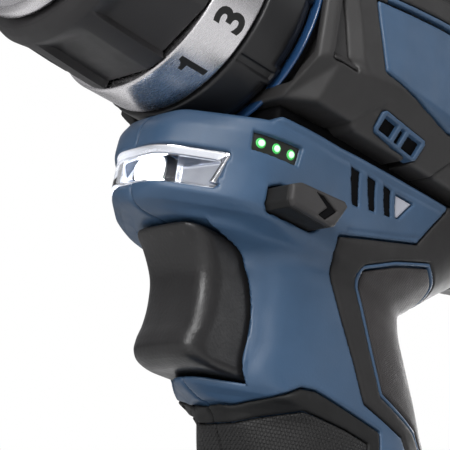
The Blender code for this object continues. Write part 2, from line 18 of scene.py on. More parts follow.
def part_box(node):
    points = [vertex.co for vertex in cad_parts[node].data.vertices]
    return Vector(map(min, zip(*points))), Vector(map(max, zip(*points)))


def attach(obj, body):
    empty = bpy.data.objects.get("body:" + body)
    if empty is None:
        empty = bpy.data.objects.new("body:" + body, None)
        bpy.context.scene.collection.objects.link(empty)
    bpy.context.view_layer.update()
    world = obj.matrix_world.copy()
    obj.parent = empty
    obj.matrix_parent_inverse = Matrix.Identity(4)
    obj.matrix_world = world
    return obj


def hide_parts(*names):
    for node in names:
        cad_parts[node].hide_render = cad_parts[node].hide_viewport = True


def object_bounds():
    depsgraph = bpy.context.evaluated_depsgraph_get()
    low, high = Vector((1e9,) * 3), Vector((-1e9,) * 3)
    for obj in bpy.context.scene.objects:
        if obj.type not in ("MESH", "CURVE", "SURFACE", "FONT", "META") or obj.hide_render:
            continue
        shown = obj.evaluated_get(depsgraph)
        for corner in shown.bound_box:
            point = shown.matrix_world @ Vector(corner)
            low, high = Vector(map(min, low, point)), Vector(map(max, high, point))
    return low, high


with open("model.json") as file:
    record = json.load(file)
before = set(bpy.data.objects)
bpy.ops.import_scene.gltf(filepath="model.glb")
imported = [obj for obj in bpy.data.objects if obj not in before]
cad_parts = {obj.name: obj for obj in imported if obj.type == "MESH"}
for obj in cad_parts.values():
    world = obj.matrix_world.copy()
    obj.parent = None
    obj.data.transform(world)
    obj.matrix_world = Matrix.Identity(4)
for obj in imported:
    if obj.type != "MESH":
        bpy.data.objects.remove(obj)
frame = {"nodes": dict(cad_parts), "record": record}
cad_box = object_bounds()

MM = 0.001
RING_LOW, RING_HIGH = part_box("numbered_ring")
TOUCH_GAP = 0.0003
RING_CENTRE = Vector((RING_HIGH.x + TOUCH_GAP, 0.0, (RING_LOW.z + RING_HIGH.z) / 2))

CAMERA_OFFSET = Vector((-0.14155, -0.18216, -0.12875))
CAMERA_RIGHT = Vector((0.69526, -0.69987, 0.16369))
CAMERA_UP = Vector((-0.34968, -0.13039, 0.92775))
LENS_MM, SENSOR_MM = 104.0, 36.0

WHITE, NECK_MIDDLE = (1.0, 1.0, 1.0), (0.0, 0.0, -0.04)
# name, place, size, watts, colour and aim; places and aims in metres from the ring centre
LIGHTS = [
    ("key", (-0.55, -0.45, 0.65), (0.5, 0.5), 5.3, WHITE, NECK_MIDDLE),
    ("side", (0.4, -0.45, 0.2), (0.3, 0.3), 0.25, (0.96, 0.98, 1.0), (0.1, 0.0, 0.02)),
    ("front", (-0.68, -0.38, 0.1), (0.2, 0.3), 3.5, WHITE, NECK_MIDDLE),
    ("rear_rim", (0.7, 0.25, 0.1), (0.5, 0.7), 8.0, WHITE, NECK_MIDDLE),
]
SKY = [(0.35, (0.02, 0.02, 0.024, 1)), (0.65, (0.38, 0.38, 0.39, 1))]  # how high, 0 to 1, and how bright
FLOOR_REACH, FLOOR_GAP, FLOOR_GREY, FLOOR_ROUGHNESS = 12.0, 0.0002, 0.6, 0.7

SEAM, SEAM_ROUND = 0.03, 0.08  # half the joint between the housing halves, and how round its edges are
GROOVE = 0.4  # between moulded pieces let into each other
SKIN = 1.6  # how thick a rubber skin or a let-in panel is


# ---------------------------------------------------------------- camera, light and stage


def placed(name, data):
    """A new object in the scene."""
    made = bpy.data.objects.new(name, data)
    bpy.context.scene.collection.objects.link(made)
    return made


def make_camera():
    data = bpy.data.cameras.new("camera")
    data.lens = LENS_MM
    data.sensor_width = SENSOR_MM
    data.clip_start = 0.01
    camera = placed("camera", data)
    back = CAMERA_RIGHT.cross(CAMERA_UP)
    turn = Matrix((CAMERA_RIGHT, CAMERA_UP, back)).transposed().to_4x4()
    camera.matrix_world = Matrix.Translation(RING_CENTRE + CAMERA_OFFSET) @ turn
    bpy.context.scene.camera = camera


def area_light(name, offset, size, power, colour, aim):
    data = bpy.data.lights.new(name, "AREA")
    data.shape = "RECTANGLE"
    data.size, data.size_y = size
    data.energy = power
    data.color = colour
    light = placed(name, data)
    light.location = RING_CENTRE + Vector(offset)
    toward = RING_CENTRE + Vector(aim) - light.location
    light.rotation_euler = toward.to_track_quat("-Z", "Y").to_euler()


def make_sky():
    """Soft light that grows with height, and plain white where the camera looks past the drill."""
    surroundings = bpy.data.worlds.new("studio")
    bpy.context.scene.world = surroundings
    surroundings.use_nodes = True
    tree = surroundings.node_tree
    direction, split, level, fade, seen, mix = (tree.nodes.new("ShaderNode" + kind) for kind in (
        "TexCoord", "SeparateXYZ", "MapRange", "ValToRGB", "LightPath", "Mix"))
    for step, (height, colour) in zip(fade.color_ramp.elements, SKY):
        step.position, step.color = height, colour
    level.inputs["From Min"].default_value = -1.0
    mix.data_type = "RGBA"
    mix.inputs["B"].default_value = (1, 1, 1, 1)
    for source, target in (
            (direction.outputs["Generated"], split.inputs[0]),
            (split.outputs["Z"], level.inputs["Value"]),
            (level.outputs[0], fade.inputs["Fac"]),
            (fade.outputs["Color"], mix.inputs["A"]),
            (seen.outputs["Is Camera Ray"], mix.inputs["Factor"]),
            (mix.outputs["Result"], tree.nodes["Background"].inputs["Color"])):
        tree.links.new(source, target)
    bpy.context.scene.view_settings.view_transform = "Standard"


def make_floor():
    mesh = bpy.data.meshes.new("floor")
    work = bmesh.new()
    bmesh.ops.create_grid(work, x_segments=1, y_segments=1, size=FLOOR_REACH)
    work.to_mesh(mesh)
    work.free()
    floor = placed("floor", mesh)
    floor.location.z = cad_box[0][2] - FLOOR_GAP
    pale = bpy.data.materials.new("pale_floor")
    pale.use_nodes = True
    paint = pale.node_tree.nodes["Principled BSDF"]
    paint.inputs["Base Color"].default_value = (FLOOR_GREY, FLOOR_GREY, FLOOR_GREY, 1)
    paint.inputs["Roughness"].default_value = FLOOR_ROUGHNESS
    mesh.materials.append(pale)


# ---------------------------------------------------------------- materials


class Nodes:
    """A material's node tree, with short ways to add and join nodes.

    Socket names given as keywords have _ for each space.
    """

    def __init__(self, name, **fixed):
        self.made = bpy.data.materials.new(name)
        self.made.use_nodes = True
        self.tree = self.made.node_tree
        self.shader = self.tree.nodes["Principled BSDF"]
        for socket, value in fixed.items():
            self.shader.inputs[socket.replace("_", " ")].default_value = value

    def add(self, kind, **values):
        node = self.tree.nodes.new("ShaderNode" + kind)
        for key, value in values.items():
            if key in node.inputs:
                node.inputs[key].default_value = value
            else:
                setattr(node, key.lower(), value)
        return node

    def join(self, source, target, socket):
        self.tree.links.new(source, target.inputs[socket])

    def feed(self, **sources):
        """Joins sources to the shader's sockets, and gives the finished material."""
        for socket, source in sources.items():
            self.join(source, self.shader, socket.replace("_", " "))
        return self.made

    def on_object(self):
        return self.add("TexCoord").outputs["Object"]

    def places(self):
        split = self.add("SeparateXYZ")
        self.join(self.on_object(), split, 0)
        return split.outputs

    def math(self, operation, *values):
        node = self.add("Math", operation=operation)
        for i, value in enumerate(values):
            if isinstance(value, (int, float)):
                node.inputs[i].default_value = value
            else:
                self.join(value, node, i)
        return node.outputs[0]

    def noise(self, scale, detail=3.0, space=None):
        noise = self.add("TexNoise", Scale=scale, Detail=detail)
        self.join(space or self.on_object(), noise, "Vector")
        return noise.outputs["Fac"]

    def spread(self, source, low, high, start=0.3, end=0.7):
        span = self.add("MapRange")
        for key, value in (("From Min", start), ("From Max", end), ("To Min", low), ("To Max", high)):
            span.inputs[key].default_value = value
        self.join(source, span, "Value")
        return span.outputs["Result"]

    def tint(self, source, dark, light):
        """From one colour to the other as the source rises. The first may be another node's colour."""
        mix = self.add("Mix", data_type="RGBA")
        if isinstance(dark, tuple):
            mix.inputs["A"].default_value = (*dark, 1)
        else:
            self.join(dark, mix, "A")
        mix.inputs["B"].default_value = (*light, 1)
        self.join(source, mix, "Factor")
        return mix.outputs["Result"]

    def bump(self, source, depth, under=None):
        bump = self.add("Bump", Strength=1.0, Distance=depth)
        self.join(source, bump, "Height")
        if under:
            self.join(under, bump, "Normal")
        return bump.outputs["Normal"]


def scaled(colour, by):
    return tuple(min(part * by, 1.0) for part in colour)


def moulded(name, colour, roughness, grain=2600.0, depth=0.00002, edge_paling=1.5, specular=0.5, coat=0.0):
    """Injection-moulded plastic or rubber: spark-eroded grain, handling marks and paler edges."""
    nodes = Nodes(name, Specular_IOR_Level=specular, Coat_Weight=coat, Coat_Roughness=0.15)
    cloud = nodes.spread(nodes.noise(90.0, 4.0), 0, 1)
    base = nodes.tint(cloud, scaled(colour, 0.9), scaled(colour, 1.1))
    # convex edges, found by pointiness, are tinted paler
    paler_edges = nodes.spread(nodes.add("NewGeometry").outputs["Pointiness"], 0.0, 1.0, 0.56, 0.68)
    marks = nodes.spread(nodes.noise(260.0, 5.0), roughness - 0.06, roughness + 0.08)
    fine = nodes.bump(nodes.noise(grain, 2.0), depth)
    return nodes.feed(Base_Color=nodes.tint(paler_edges, base, scaled(colour, edge_paling)), Roughness=marks,
                      Normal=fine)


def hexagon_rubber(name, colour, pitch, depth, roughness=0.62):
    """Rubber with raised hexagons, laid out over the surface by its height and how far it runs round."""
    nodes = Nodes(name)
    places = nodes.places()
    across = nodes.math("SUBTRACT", places["X"], places["Y"])
    heights = []
    for shift in (0.0, 0.5):
        reach = nodes.add("VectorMath", operation="LENGTH")
        both = nodes.add("CombineXYZ")
        nodes.join(cell_offset(nodes, across, pitch * 1.2, shift), both, "X")
        nodes.join(cell_offset(nodes, places["Z"], pitch * math.sqrt(3) * 0.95, shift), both, "Y")
        nodes.join(both.outputs[0], reach, 0)
        heights.append(reach.outputs["Value"])
    raised = nodes.spread(nodes.math("MINIMUM", *heights), 1.0, 0.0, pitch * 0.36, pitch * 0.5)
    fine = nodes.bump(nodes.noise(3000.0, 2.0), 0.00002)
    # colour darker in the hollows between the raised cells and paler on their tops: painted shade and
    # painted highlight
    return nodes.feed(Normal=nodes.bump(raised, depth, fine),
                      Base_Color=nodes.tint(raised, scaled(colour, 0.55), scaled(colour, 1.15)),
                      Roughness=nodes.spread(nodes.noise(300.0), roughness - 0.06, roughness + 0.06))


def cell_offset(nodes, source, pitch, shift):
    """How far a value lies from the middle of its cell, in a row of cells."""
    cells = nodes.math("MULTIPLY_ADD", source, 1 / pitch, shift)
    part = nodes.math("FRACT", nodes.math("ADD", cells, 1000.0))
    return nodes.math("MULTIPLY", nodes.math("SUBTRACT", part, 0.5), pitch)


def turned_metal(name, colour, roughness, streak=0.12, grain=0.000012):
    """Metal with fine marks that run round the spindle axis."""
    nodes = Nodes(name, Metallic=1.0)
    places = nodes.places()
    up = nodes.math("SUBTRACT", places["Z"], RING_CENTRE.z)
    turn = nodes.math("ARCTAN2", places["Y"], up)
    squares = [nodes.math("MULTIPLY", part, part) for part in (up, places["Y"])]
    radius = nodes.math("SQRT", nodes.math("ADD", *squares))
    unrolled = nodes.add("CombineXYZ")
    for socket, part, stretch in (("X", places["X"], 60.0), ("Y", turn, 0.25), ("Z", radius, 60.0)):
        nodes.join(nodes.math("MULTIPLY", part, stretch), unrolled, socket)
    marks = nodes.noise(110.0, 4.0, unrolled.outputs[0])
    speckle = nodes.noise(5000.0, 1.0)
    return nodes.feed(Roughness=nodes.spread(marks, roughness - streak / 2, roughness + streak / 2),
                      Base_Color=nodes.tint(nodes.spread(speckle, 0, 1), scaled(colour, 0.86), colour),
                      Normal=nodes.bump(marks, grain * 0.5, nodes.bump(speckle, grain)))


def glowing(name, colour, strength):
    nodes = Nodes(name, Base_Color=(*colour, 1), Roughness=0.3, Emission_Strength=strength)
    glow = nodes.spread(nodes.noise(900.0, 2.0), 0, 1)
    return nodes.feed(Emission_Color=nodes.tint(glow, scaled(colour, 0.85), colour))


def lit_reflector(name):
    """Bright metal beside the lamp, with a painted glow for the lamp's light on it, more so toward the
    operator's right.
    """
    nodes = Nodes(name, Base_Color=(0.85, 0.86, 0.9, 1), Metallic=1.0)
    cloud = nodes.noise(500.0, 3.0)
    # the emission is painted light from the lamp, stronger toward the operator's right
    return nodes.feed(Roughness=nodes.spread(cloud, 0.08, 0.22),
                      Emission_Strength=nodes.spread(nodes.places()["Y"], 0.04, 0.9, -0.004, 0.009),
                      Emission_Color=nodes.tint(cloud, (0.75, 0.8, 0.95), (1, 1, 1)))


def clear_plastic(name):
    nodes = Nodes(name, Base_Color=(0.95, 0.97, 1.0, 1), Transmission_Weight=1.0, IOR=1.2)
    return nodes.feed(Roughness=nodes.spread(nodes.noise(400.0), 0.01, 0.06))


def wound_copper(name):
    nodes = Nodes(name, Metallic=0.9, Roughness=0.4)
    bands = nodes.add("TexWave", Scale=700.0, Distortion=1.5)
    nodes.join(nodes.on_object(), bands, "Vector")
    return nodes.feed(Base_Color=nodes.tint(bands.outputs["Fac"], (0.16, 0.05, 0.02), (0.7, 0.3, 0.12)),
                      Normal=nodes.bump(bands.outputs["Fac"], 0.0002))


def circuit_board(name):
    nodes = Nodes(name, Roughness=0.35)
    tracks = nodes.add("TexVoronoi", Scale=700.0, distance="MANHATTAN")
    nodes.join(nodes.on_object(), tracks, "Vector")
    lines = nodes.spread(tracks.outputs["Distance"], 1, 0, 0.2, 0.3)
    return nodes.feed(Base_Color=nodes.tint(lines, (0.01, 0.07, 0.03), (0.05, 0.2, 0.09)),
                      Normal=nodes.bump(lines, 0.00003))


LOOKS = {
    "blue": moulded("blue_plastic", (0.040, 0.084, 0.155), 0.42, edge_paling=1.0),
    "gloss_blue": moulded("gloss_blue", (0.015, 0.05, 0.13), 0.2, depth=0.000004, coat=0.6),
    "black": moulded("black_plastic", (0.012, 0.012, 0.0125), 0.36, depth=0.000012, edge_paling=2.0),
    "collar": moulded("collar_plastic", (0.010, 0.010, 0.011), 0.4, 4000, edge_paling=1.8),
    "sleeve": moulded("sleeve_plastic", (0.020, 0.019, 0.020), 0.46, 4000, 0.000025, 1.6),
    "trigger": moulded("trigger_plastic", (0.014, 0.0135, 0.014), 0.34, 1500, 0.00006, 1.6),
    "rubber": moulded("grip_rubber", (0.022, 0.021, 0.021), 0.6, 3000, 0.00003, 1.4, specular=0.35),
    # the hexagon pad is darkened in part to paint the shade the lower front grip lies in
    "hexagon": hexagon_rubber("hexagon_rubber", (0.011, 0.0105, 0.0105), 0.00085, 0.00018),
    "dotted": hexagon_rubber("dotted_rubber", (0.042, 0.037, 0.037), 0.00045, 0.00011),
    "grey": moulded("grey_rubber", (0.038, 0.036, 0.036), 0.52, 3000, specular=0.4),
    "barrel": moulded("barrel_plastic", (0.0225, 0.0215, 0.0215), 0.52, 2800),
    # the barrel plastic darkened: painted shade on the sunk faces ahead of the rib, which face away from
    # the light
    "bumper": moulded("bumper_shaded_plastic", (0.018, 0.017, 0.017), 0.5, 2800),
    # a darker copy of the grip rubber: painted shade on the front grip and the button body, which face
    # away from the light
    "front_rubber": moulded("front_rubber", (0.011, 0.011, 0.011), 0.6, 3000, 0.00003, specular=0.3),
    # near-black: painted shade in the vents, the channel and the bezel holes, and the real black of the
    # button's arrow
    "dark": moulded("shade_fill_and_black_plastic", (0.0015, 0.0015, 0.002), 0.7, specular=0.1),
    "pale": moulded("pale_plastic", (0.45, 0.46, 0.52), 0.45),
    "gauge_floor": moulded("gauge_floor", (0.010, 0.011, 0.008), 0.35),
    "silver": turned_metal("silver", (0.86, 0.84, 0.86), 0.27, 0.08, grain=0.000006),
    "reflector": lit_reflector("lit_reflector"),
    "ink": moulded("numeral_ink", (0.006, 0.006, 0.006), 0.5),
    "steel": turned_metal("steel", (0.55, 0.55, 0.57), 0.3),
    "dark_steel": turned_metal("dark_steel", (0.12, 0.12, 0.125), 0.38),
    "screw": turned_metal("screw_steel", (0.22, 0.22, 0.23), 0.32),
    "copper": wound_copper("winding"),
    "board": circuit_board("circuit_board"),
    "wrap": moulded("cell_wrap", (0.02, 0.16, 0.13), 0.3, depth=0.000005, coat=0.5),
    "clear": clear_plastic("clear_lens"),
    "lamp": glowing("work_lamp", (1.0, 0.99, 0.97), 7.0),
    "green": glowing("gauge_light", (0.5, 1.0, 0.55), 0.9),
    "halo": glowing("gauge_halo", (0.05, 0.45, 0.09), 0.4),
}
SLOT_LOOKS = {
    "blue_housing": "blue", "grip_rubber": "rubber", "bumper_rubber": "grey", "black_plastic": "black",
    "grey_plastic": "grey", "silver_ring": "silver", "steel": "steel", "screw_steel": "screw",
    "copper_winding": "copper", "clear_lens": "clear", "lamp": "lamp", "gauge": "board",
    "circuit_board": "board", "cell_wrap": "wrap",
}


def dress_cad_nodes():
    slots = {row["node"]: row["material_slot"] for row in frame["record"]["subparts"]}
    for name, node in frame["nodes"].items():
        node.data.materials.clear()
        node.data.materials.append(LOOKS[SLOT_LOOKS[slots[name]]])


# ---------------------------------------------------------------- making meshes


def finish_piece(name, points, faces, look, body, replaces=(), crease=None):
    """A piece from points in drill places and an array of faces, each with as many corners."""
    mesh = bpy.data.meshes.new(name)
    mesh.vertices.add(len(points))
    places = points * MM + np.array(RING_CENTRE)
    mesh.vertices.foreach_set("co", places.astype(np.float32).ravel())
    mesh.loops.add(faces.size)
    mesh.loops.foreach_set("vertex_index", faces.astype(np.int32).ravel())
    mesh.polygons.add(len(faces))
    mesh.polygons.foreach_set("loop_start", np.arange(0, faces.size, faces.shape[1], dtype=np.int32))
    mesh.update(calc_edges=True)
    mesh.validate()
    mesh.shade_smooth()
    if crease:
        mesh.set_sharp_from_angle(angle=math.radians(crease))
    mesh.materials.append(LOOKS[look])
    piece = placed(name, mesh)
    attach(piece, body)
    if replaces:
        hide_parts(*replaces)


CORNERS = [(a, b, c) for a in (0, 1) for b in (0, 1) for c in (0, 1)]
CELL_EDGES = [(i, j) for i in range(8) for j in range(i + 1, 8)
              if sum(abs(p - q) for p, q in zip(CORNERS[i], CORNERS[j])) == 1]
CHUNK = 400000  # points worked out at a time
SLOPE_REACH, SLOPE_LEAST, STEP_LIMIT = 0.05, 0.3, 0.4  # how settle() measures and moves
TURNED_STEP, TURNED_FILLET, TURNED_CREASE = 0.7, 0.25, 35


def in_chunks(field, points):
    """The field at each point, worked out for some of them at a time."""
    parts = [field(*points[i:i + CHUNK].T) for i in range(0, len(points), CHUNK)]
    return np.concatenate(parts).astype(np.float32)


def sculpt(name, low, high, step, field, look, body, replaces=(), crease=None):
    """The skin where a field is zero, inside a box, by surface nets."""
    low = np.array(low, np.float32)
    counts = np.ceil((np.array(high) - low) / step).astype(int) + 1
    axes = [low[i] + step * np.arange(counts[i], dtype=np.float32) for i in range(3)]
    grid = np.stack(np.meshgrid(*axes, indexing="ij"), axis=-1).reshape(-1, 3)
    value = in_chunks(field, grid).reshape(counts)
    for axis in range(3):  # closes the skin at the box's own sides
        for end in (0, -1):
            value.swapaxes(0, axis)[end] = np.maximum(value.swapaxes(0, axis)[end], step)
    inside = value < 0
    size = counts - 1
    filled = sum(inside[a:a + size[0], b:b + size[1], c:c + size[2]].astype(np.int8)
                 for a, b, c in CORNERS)
    cells = np.argwhere((filled > 0) & (filled < 8))
    at = np.stack([value[tuple((cells + corner).T)] for corner in CORNERS], axis=1)
    total = np.zeros((len(cells), 3), np.float32)
    hits = np.zeros(len(cells), np.float32)
    for i, j in CELL_EDGES:
        crossing = (at[:, i] < 0) != (at[:, j] < 0)
        share = at[crossing, i] / (at[crossing, i] - at[crossing, j])
        first, last = np.array(CORNERS[i], np.float32), np.array(CORNERS[j], np.float32)
        total[crossing] += first + share[:, None] * (last - first)
        hits[crossing] += 1
    points = low + (cells + total / hits[:, None]) * step
    number = np.full(size, -1, np.int32)
    number[tuple(cells.T)] = np.arange(len(cells))
    quads = []
    for axis in range(3):
        after, last = (axis + 1) % 3, (axis + 2) % 3
        turned = inside.swapaxes(0, axis)
        here, there = turned[:-1].swapaxes(0, axis), turned[1:].swapaxes(0, axis)
        change = np.argwhere(here != there)
        change = change[(change[:, after] > 0) & (change[:, last] > 0)
                        & (change[:, after] < size[after]) & (change[:, last] < size[last])]
        back_a, back_b = np.eye(3, dtype=int)[after], np.eye(3, dtype=int)[last]
        shifts = (back_a + back_b, back_b, 0 * back_a, back_a)
        quad = np.stack([number[tuple((change - shift).T)] for shift in shifts], axis=1)
        outward = here[tuple(change.T)]
        quad[~outward] = quad[~outward][:, ::-1]
        quads.append(quad)
    settle(points, field, step)
    finish_piece(name, points, np.concatenate(quads), look, body, replaces, crease)


def settle(points, field, step):
    """Moves points along the field's slope until they lie where it is zero."""
    for _ in range(2):
        value = in_chunks(field, points)
        ahead = [in_chunks(field, points + SLOPE_REACH * axis) for axis in np.eye(3, dtype=np.float32)]
        slope = (np.stack(ahead, axis=1) - value[:, None]) / SLOPE_REACH
        move = -value[:, None] * slope / np.maximum((slope ** 2).sum(1), SLOPE_LEAST)[:, None]
        length = np.linalg.norm(move, axis=1)
        move *= np.minimum(1, STEP_LIMIT * step / np.maximum(length, 1e-6))[:, None]
        points += move


def around(name, outline, look, body, replaces=(), shape=None, turns=360):
    """A closed outline of (x, radius) points, corners rounded, carried round the spindle axis."""
    outline = rounded(outline, TURNED_FILLET)
    profile = [outline[-1]]
    for point in outline:
        start = profile[-1]
        count = max(int(math.dist(start, point) / TURNED_STEP), 1)
        for share in (i / count for i in range(1, count + 1)):
            profile.append(tuple(a + (b - a) * share for a, b in zip(start, point)))
    along, radius = np.array(profile[1:]).T
    count = len(along)
    angle_all = np.repeat(2 * np.pi * np.arange(turns)[:, None] / turns, count, 1)
    along_all, radius_all = np.repeat(along[None], turns, 0), np.repeat(radius[None], turns, 0)
    if shape:
        radius_all = shape(along_all, radius_all, angle_all)
    points = np.stack([along_all, -radius_all * np.sin(angle_all), -radius_all * np.cos(angle_all)], -1)
    row, column = np.arange(turns)[:, None], np.arange(count)[None]
    next_row, next_column = (row + 1) % turns, (column + 1) % count
    quads = np.stack([row * count + column, row * count + next_column,
                      next_row * count + next_column, next_row * count + column], -1).reshape(-1, 4)
    if (along * np.roll(radius, -1) - np.roll(along, -1) * radius).sum() < 0:
        quads = quads[:, ::-1]
    points = points.reshape(-1, 3).astype(np.float32)
    finish_piece(name, points, quads, look, body, replaces, TURNED_CREASE)


def rounded(points, fillet, steps=3):
    """The closed outline with an arc at each corner."""
    made = []
    for i, corner in enumerate(points):
        here = np.array(corner, float)
        before = np.array(points[i - 1], float) - here
        after = np.array(points[(i + 1) % len(points)], float) - here
        room = min(np.linalg.norm(before), np.linalg.norm(after)) * 0.45
        first = here + before / np.linalg.norm(before) * min(fillet, room)
        last = here + after / np.linalg.norm(after) * min(fillet, room)
        for share in np.linspace(0, 1, steps):
            place = (1 - share) ** 2 * first + 2 * share * (1 - share) * here + share ** 2 * last
            made.append(tuple(place))
    return made


# ---------------------------------------------------------------- fields


def smax(a, b, radius):
    return np.maximum(a, b) + np.maximum(radius - np.abs(a - b), 0) ** 2 / (4 * radius)


def smin(a, b, radius):
    return -smax(-a, -b, radius)


def eased(rows, step=0.5):
    """Rows of numbers with smooth rows filled in between, as columns, their first numbers rising."""
    rows = np.array(sorted(rows), float)
    at, values = rows[:, 0], rows[:, 1:]
    slopes = np.gradient(values, at, axis=0)
    fine = np.arange(at[0], at[-1] + step, step)
    fine[-1] = at[-1]
    first = np.clip(np.searchsorted(at, fine, side="right") - 1, 0, len(at) - 2)
    length = (at[first + 1] - at[first])[:, None]
    share = (fine - at[first])[:, None] / length
    filled = ((2 * share ** 3 - 3 * share ** 2 + 1) * values[first] + (share ** 3 - 2 * share ** 2 + share)
              * length * slopes[first] + (3 * share ** 2 - 2 * share ** 3) * values[first + 1]
              + (share ** 3 - share ** 2) * length * slopes[first + 1])
    return fine, filled.T


def sections(rows):
    """A form of rounded sections along one direction.

    Each row has a place, the first and last edge there, half the width and the squareness.
    """
    at, columns = eased(rows)

    def form(along, across, side):
        low, high, half_width, power = (np.interp(along, at, column) for column in columns)
        reach = (high - low) / 2
        a = np.abs(across - (low + high) / 2) / reach + 1e-4
        b = np.abs(side) / half_width + 1e-4
        size = (a ** power + b ** power) ** (1 / power)
        slope = size ** (1 - power) * np.hypot(a ** (power - 1) / reach, b ** (power - 1) / half_width)
        return (size - 1) / np.maximum(slope, 0.004)

    return form


def line_gap(x, z, points):
    """How far each place is from an open line, both seen from the side."""
    best = np.full(x.shape, 1e3)
    for (x1, z1), (x2, z2) in zip(points, points[1:]):
        dx, dz = x2 - x1, z2 - z1
        share = np.clip(((x - x1) * dx + (z - z1) * dz) / (dx * dx + dz * dz), 0, 1)
        best = np.minimum(best, np.hypot(x - x1 - share * dx, z - z1 - share * dz))
    return best


def outline_gap(x, z, points):
    """How far each place is from an outline seen from the side, negative inside it."""
    inside = np.zeros(x.shape, bool)
    closed = points + points[:1]
    for (x1, z1), (x2, z2) in zip(closed, closed[1:]):
        if z1 != z2:
            inside ^= ((z1 > z) != (z2 > z)) & (x < (x2 - x1) * (z - z1) / (z2 - z1) + x1)
    return np.where(inside, -1, 1) * line_gap(x, z, closed)


def block_gap(x, y, z, low, high):
    parts = [np.maximum(a - part, part - b) for part, a, b in zip((x, y, z), low, high)]
    return np.maximum.reduce(parts)


def span(value, low, high):
    """Negative between two places."""
    return np.maximum(low - value, value - high)


def nearest(value, pitch):
    """How far each place is from the nearest of evenly spaced lines."""
    return np.abs(value - pitch * np.round(value / pitch))


def patched(value, x, y, z, low, high, change):
    """The field with one change made to it inside a box."""
    here = block_gap(x, y, z, low, high) < 0
    if here.any():
        value[here] = change(value[here], x[here], y[here], z[here])
    return value


def dent(gap, width, depth):
    return depth * np.exp(-(gap / width) ** 2)


# ---------------------------------------------------------------- neck, handle and foot

NECK = sections([(-23, -1.0, 98, 24.4, 3), (-27.5, -1.6, 97, 23.6, 3), (-31, -3.9, 92, 22.6, 3),
                 (-33.5, -4.3, 87, 22.1, 3), (-38, -4.2, 80, 21.6, 3), (-43, -3.8, 73, 21.3, 3),
                 (-45.5, -2.8, 70, 20.4, 2.9), (-49, 1.5, 67, 18, 2.8)])
HANDLE = sections([(-40, 5, 66.5, 16, 2.8), (-47.7, 5.5, 67.1, 17.3, 2.8),
                   (-49, 11.5, 67.2, 17.1, 2.8), (-53.2, 17, 68.2, 17, 2.8),
                   (-58.3, 19.6, 71.2, 17, 2.8), (-67, 20, 77.1, 17, 2.8), (-72.8, 18.5, 80.7, 17, 2.8),
                   (-74.6, 17.4, 82.2, 17, 2.8), (-76, 19.5, 83.2, 17.1, 2.8),
                   (-78, 25, 84.6, 17.3, 2.8), (-81, 27.7, 86.2, 17.4, 2.8), (-86, 31, 88, 17.5, 2.8),
                   (-100, 35, 90.4, 18, 2.8), (-115, 38, 92, 18.5, 2.8), (-127, 36, 95, 21, 2.8),
                   (-133, 36, 96, 22, 2.8)])
NECK_CORNER = ([-47.6, -46.8, -45.6, -44, -42.4, -37, -34.5, -31, -28.9, -25, -23],
               [-2.4, 0.8, 4.8, 6.8, 7.0, 7.7, 8.2, 8.1, 7.5, 7.3, 7.3])
HANDLE_CORNER = (
    [-127, -115, -100, -88, -83, -81.4, -79.9, -78.5, -77.3, -76.2, -75.3, -74, -72.6, -66, -47],
    [-20, -20.7, -18.8, -16.7, -16.0, -15.8, -15.6, -15.2, -14.1, -12.7, -10.9, -9.9, -9.2, -6, 2])
FOOT = sections([(-118, 44, 83, 15.2, 2.8), (-122, 39, 86, 18, 2.9), (-129, 24, 99, 29, 3.4),
                 (-134, 12, 104, 36, 4), (-140, 9.5, 105.4, 37.2, 4.4), (-147, 8, 106, 37.5, 4.5)])
NECK_TOP = ([-5, 6, 11.2, 13, 27, 61, 100], [-27.6, -27.1, -27.0, -25.6, -26.5, -25.9, -25.5])
NECK_FLOOR, HANDLE_TOP, HANDLE_END, FOOT_TOP, FOOT_FLOOR = -47.4, -42, -133, -118, -146.6
HANDLE_WALL, FOOT_WALL = 3.2, 2.4
FOOT_SPLIT = -82  # the foot is a piece of its own below this
REAR_RUBBER = [(61.5, -24), (61.3, -27.2), (55.8, -36.2), (32.2, -43), (32.8, -45.8), (34.5, -47.2),
               (41.1, -56.8), (46.3, -64), (50.8, -70.9), (64.4, -74.3), (68, -80), (70, -93),
               (66, -106), (64, -109), (64, -120.4), (120, -120.4), (120, -24)]
FRONT_RUBBER = [(56.4, -75.4), (37, -72.4), (33.5, -72.8), (29.7, -75.2), (26.4, -77.5), (15, -77.7),
                (15, -120.4), (63.3, -120.4), (63.3, -108), (62, -107), (58, -90)]
FRONT_PAD = [(15, -80.6), (27.6, -80.8), (30.2, -79.2), (35.4, -76.7), (46, -77.6), (52.8, -78.6),
             (54.4, -90), (57.5, -104), (59, -118), (15, -118)]
INSERT = [(42.4, -46.4), (50.1, -43), (61.6, -39.2), (66, -41.5), (78, -58), (120, -62), (120, -112),
          (86, -112), (80, -100), (72.5, -74.7), (69.7, -71.4), (56, -67.4), (51.2, -59.8), (45.9, -51)]
VENTS = [[(30.8, -28.8), (33.7, -29.1), (36.0, -35.6), (33.8, -35.8)],
         [(35.7, -28.9), (38.6, -29.1), (40.9, -34.8), (38.8, -35.0)],
         [(40.8, -28.9), (43.4, -29.1), (45.6, -34.1), (43.5, -34.3)]]
ARROW = [(44.8, -29.2), (51.1, -29.1), (48.0, -33.5), (46.8, -33.7)]
GAUGE = [(8.2, -30.2), (18.4, -30.1), (18.2, -34.0), (8.3, -34.1)]
BUTTON_FACE = [(12.9, -40.4), (15.2, -39.2), (27.2, -38.3), (28.3, -39.2), (25.4, -44.2), (24.4, -44.6),
               (13.9, -44.4), (13.0, -43.4)]
TRIGGER_EDGE = [(8, -46.2), (17.6, -48.4), (22.5, -52.6), (24, -55.9), (25.1, -65.5), (23.4, -71.5),
                (21.8, -75.2)]
BAND_LIP = [(12.5, -27.3), (26.7, -28.5), (44.9, -28.2), (60.2, -27.5)]
BAND_FOOT = [(34, -41.2), (49.4, -36.9), (55.6, -34.9)]
RUBBER_PROUD = 0.15  # how far the rubber stands out of the blue
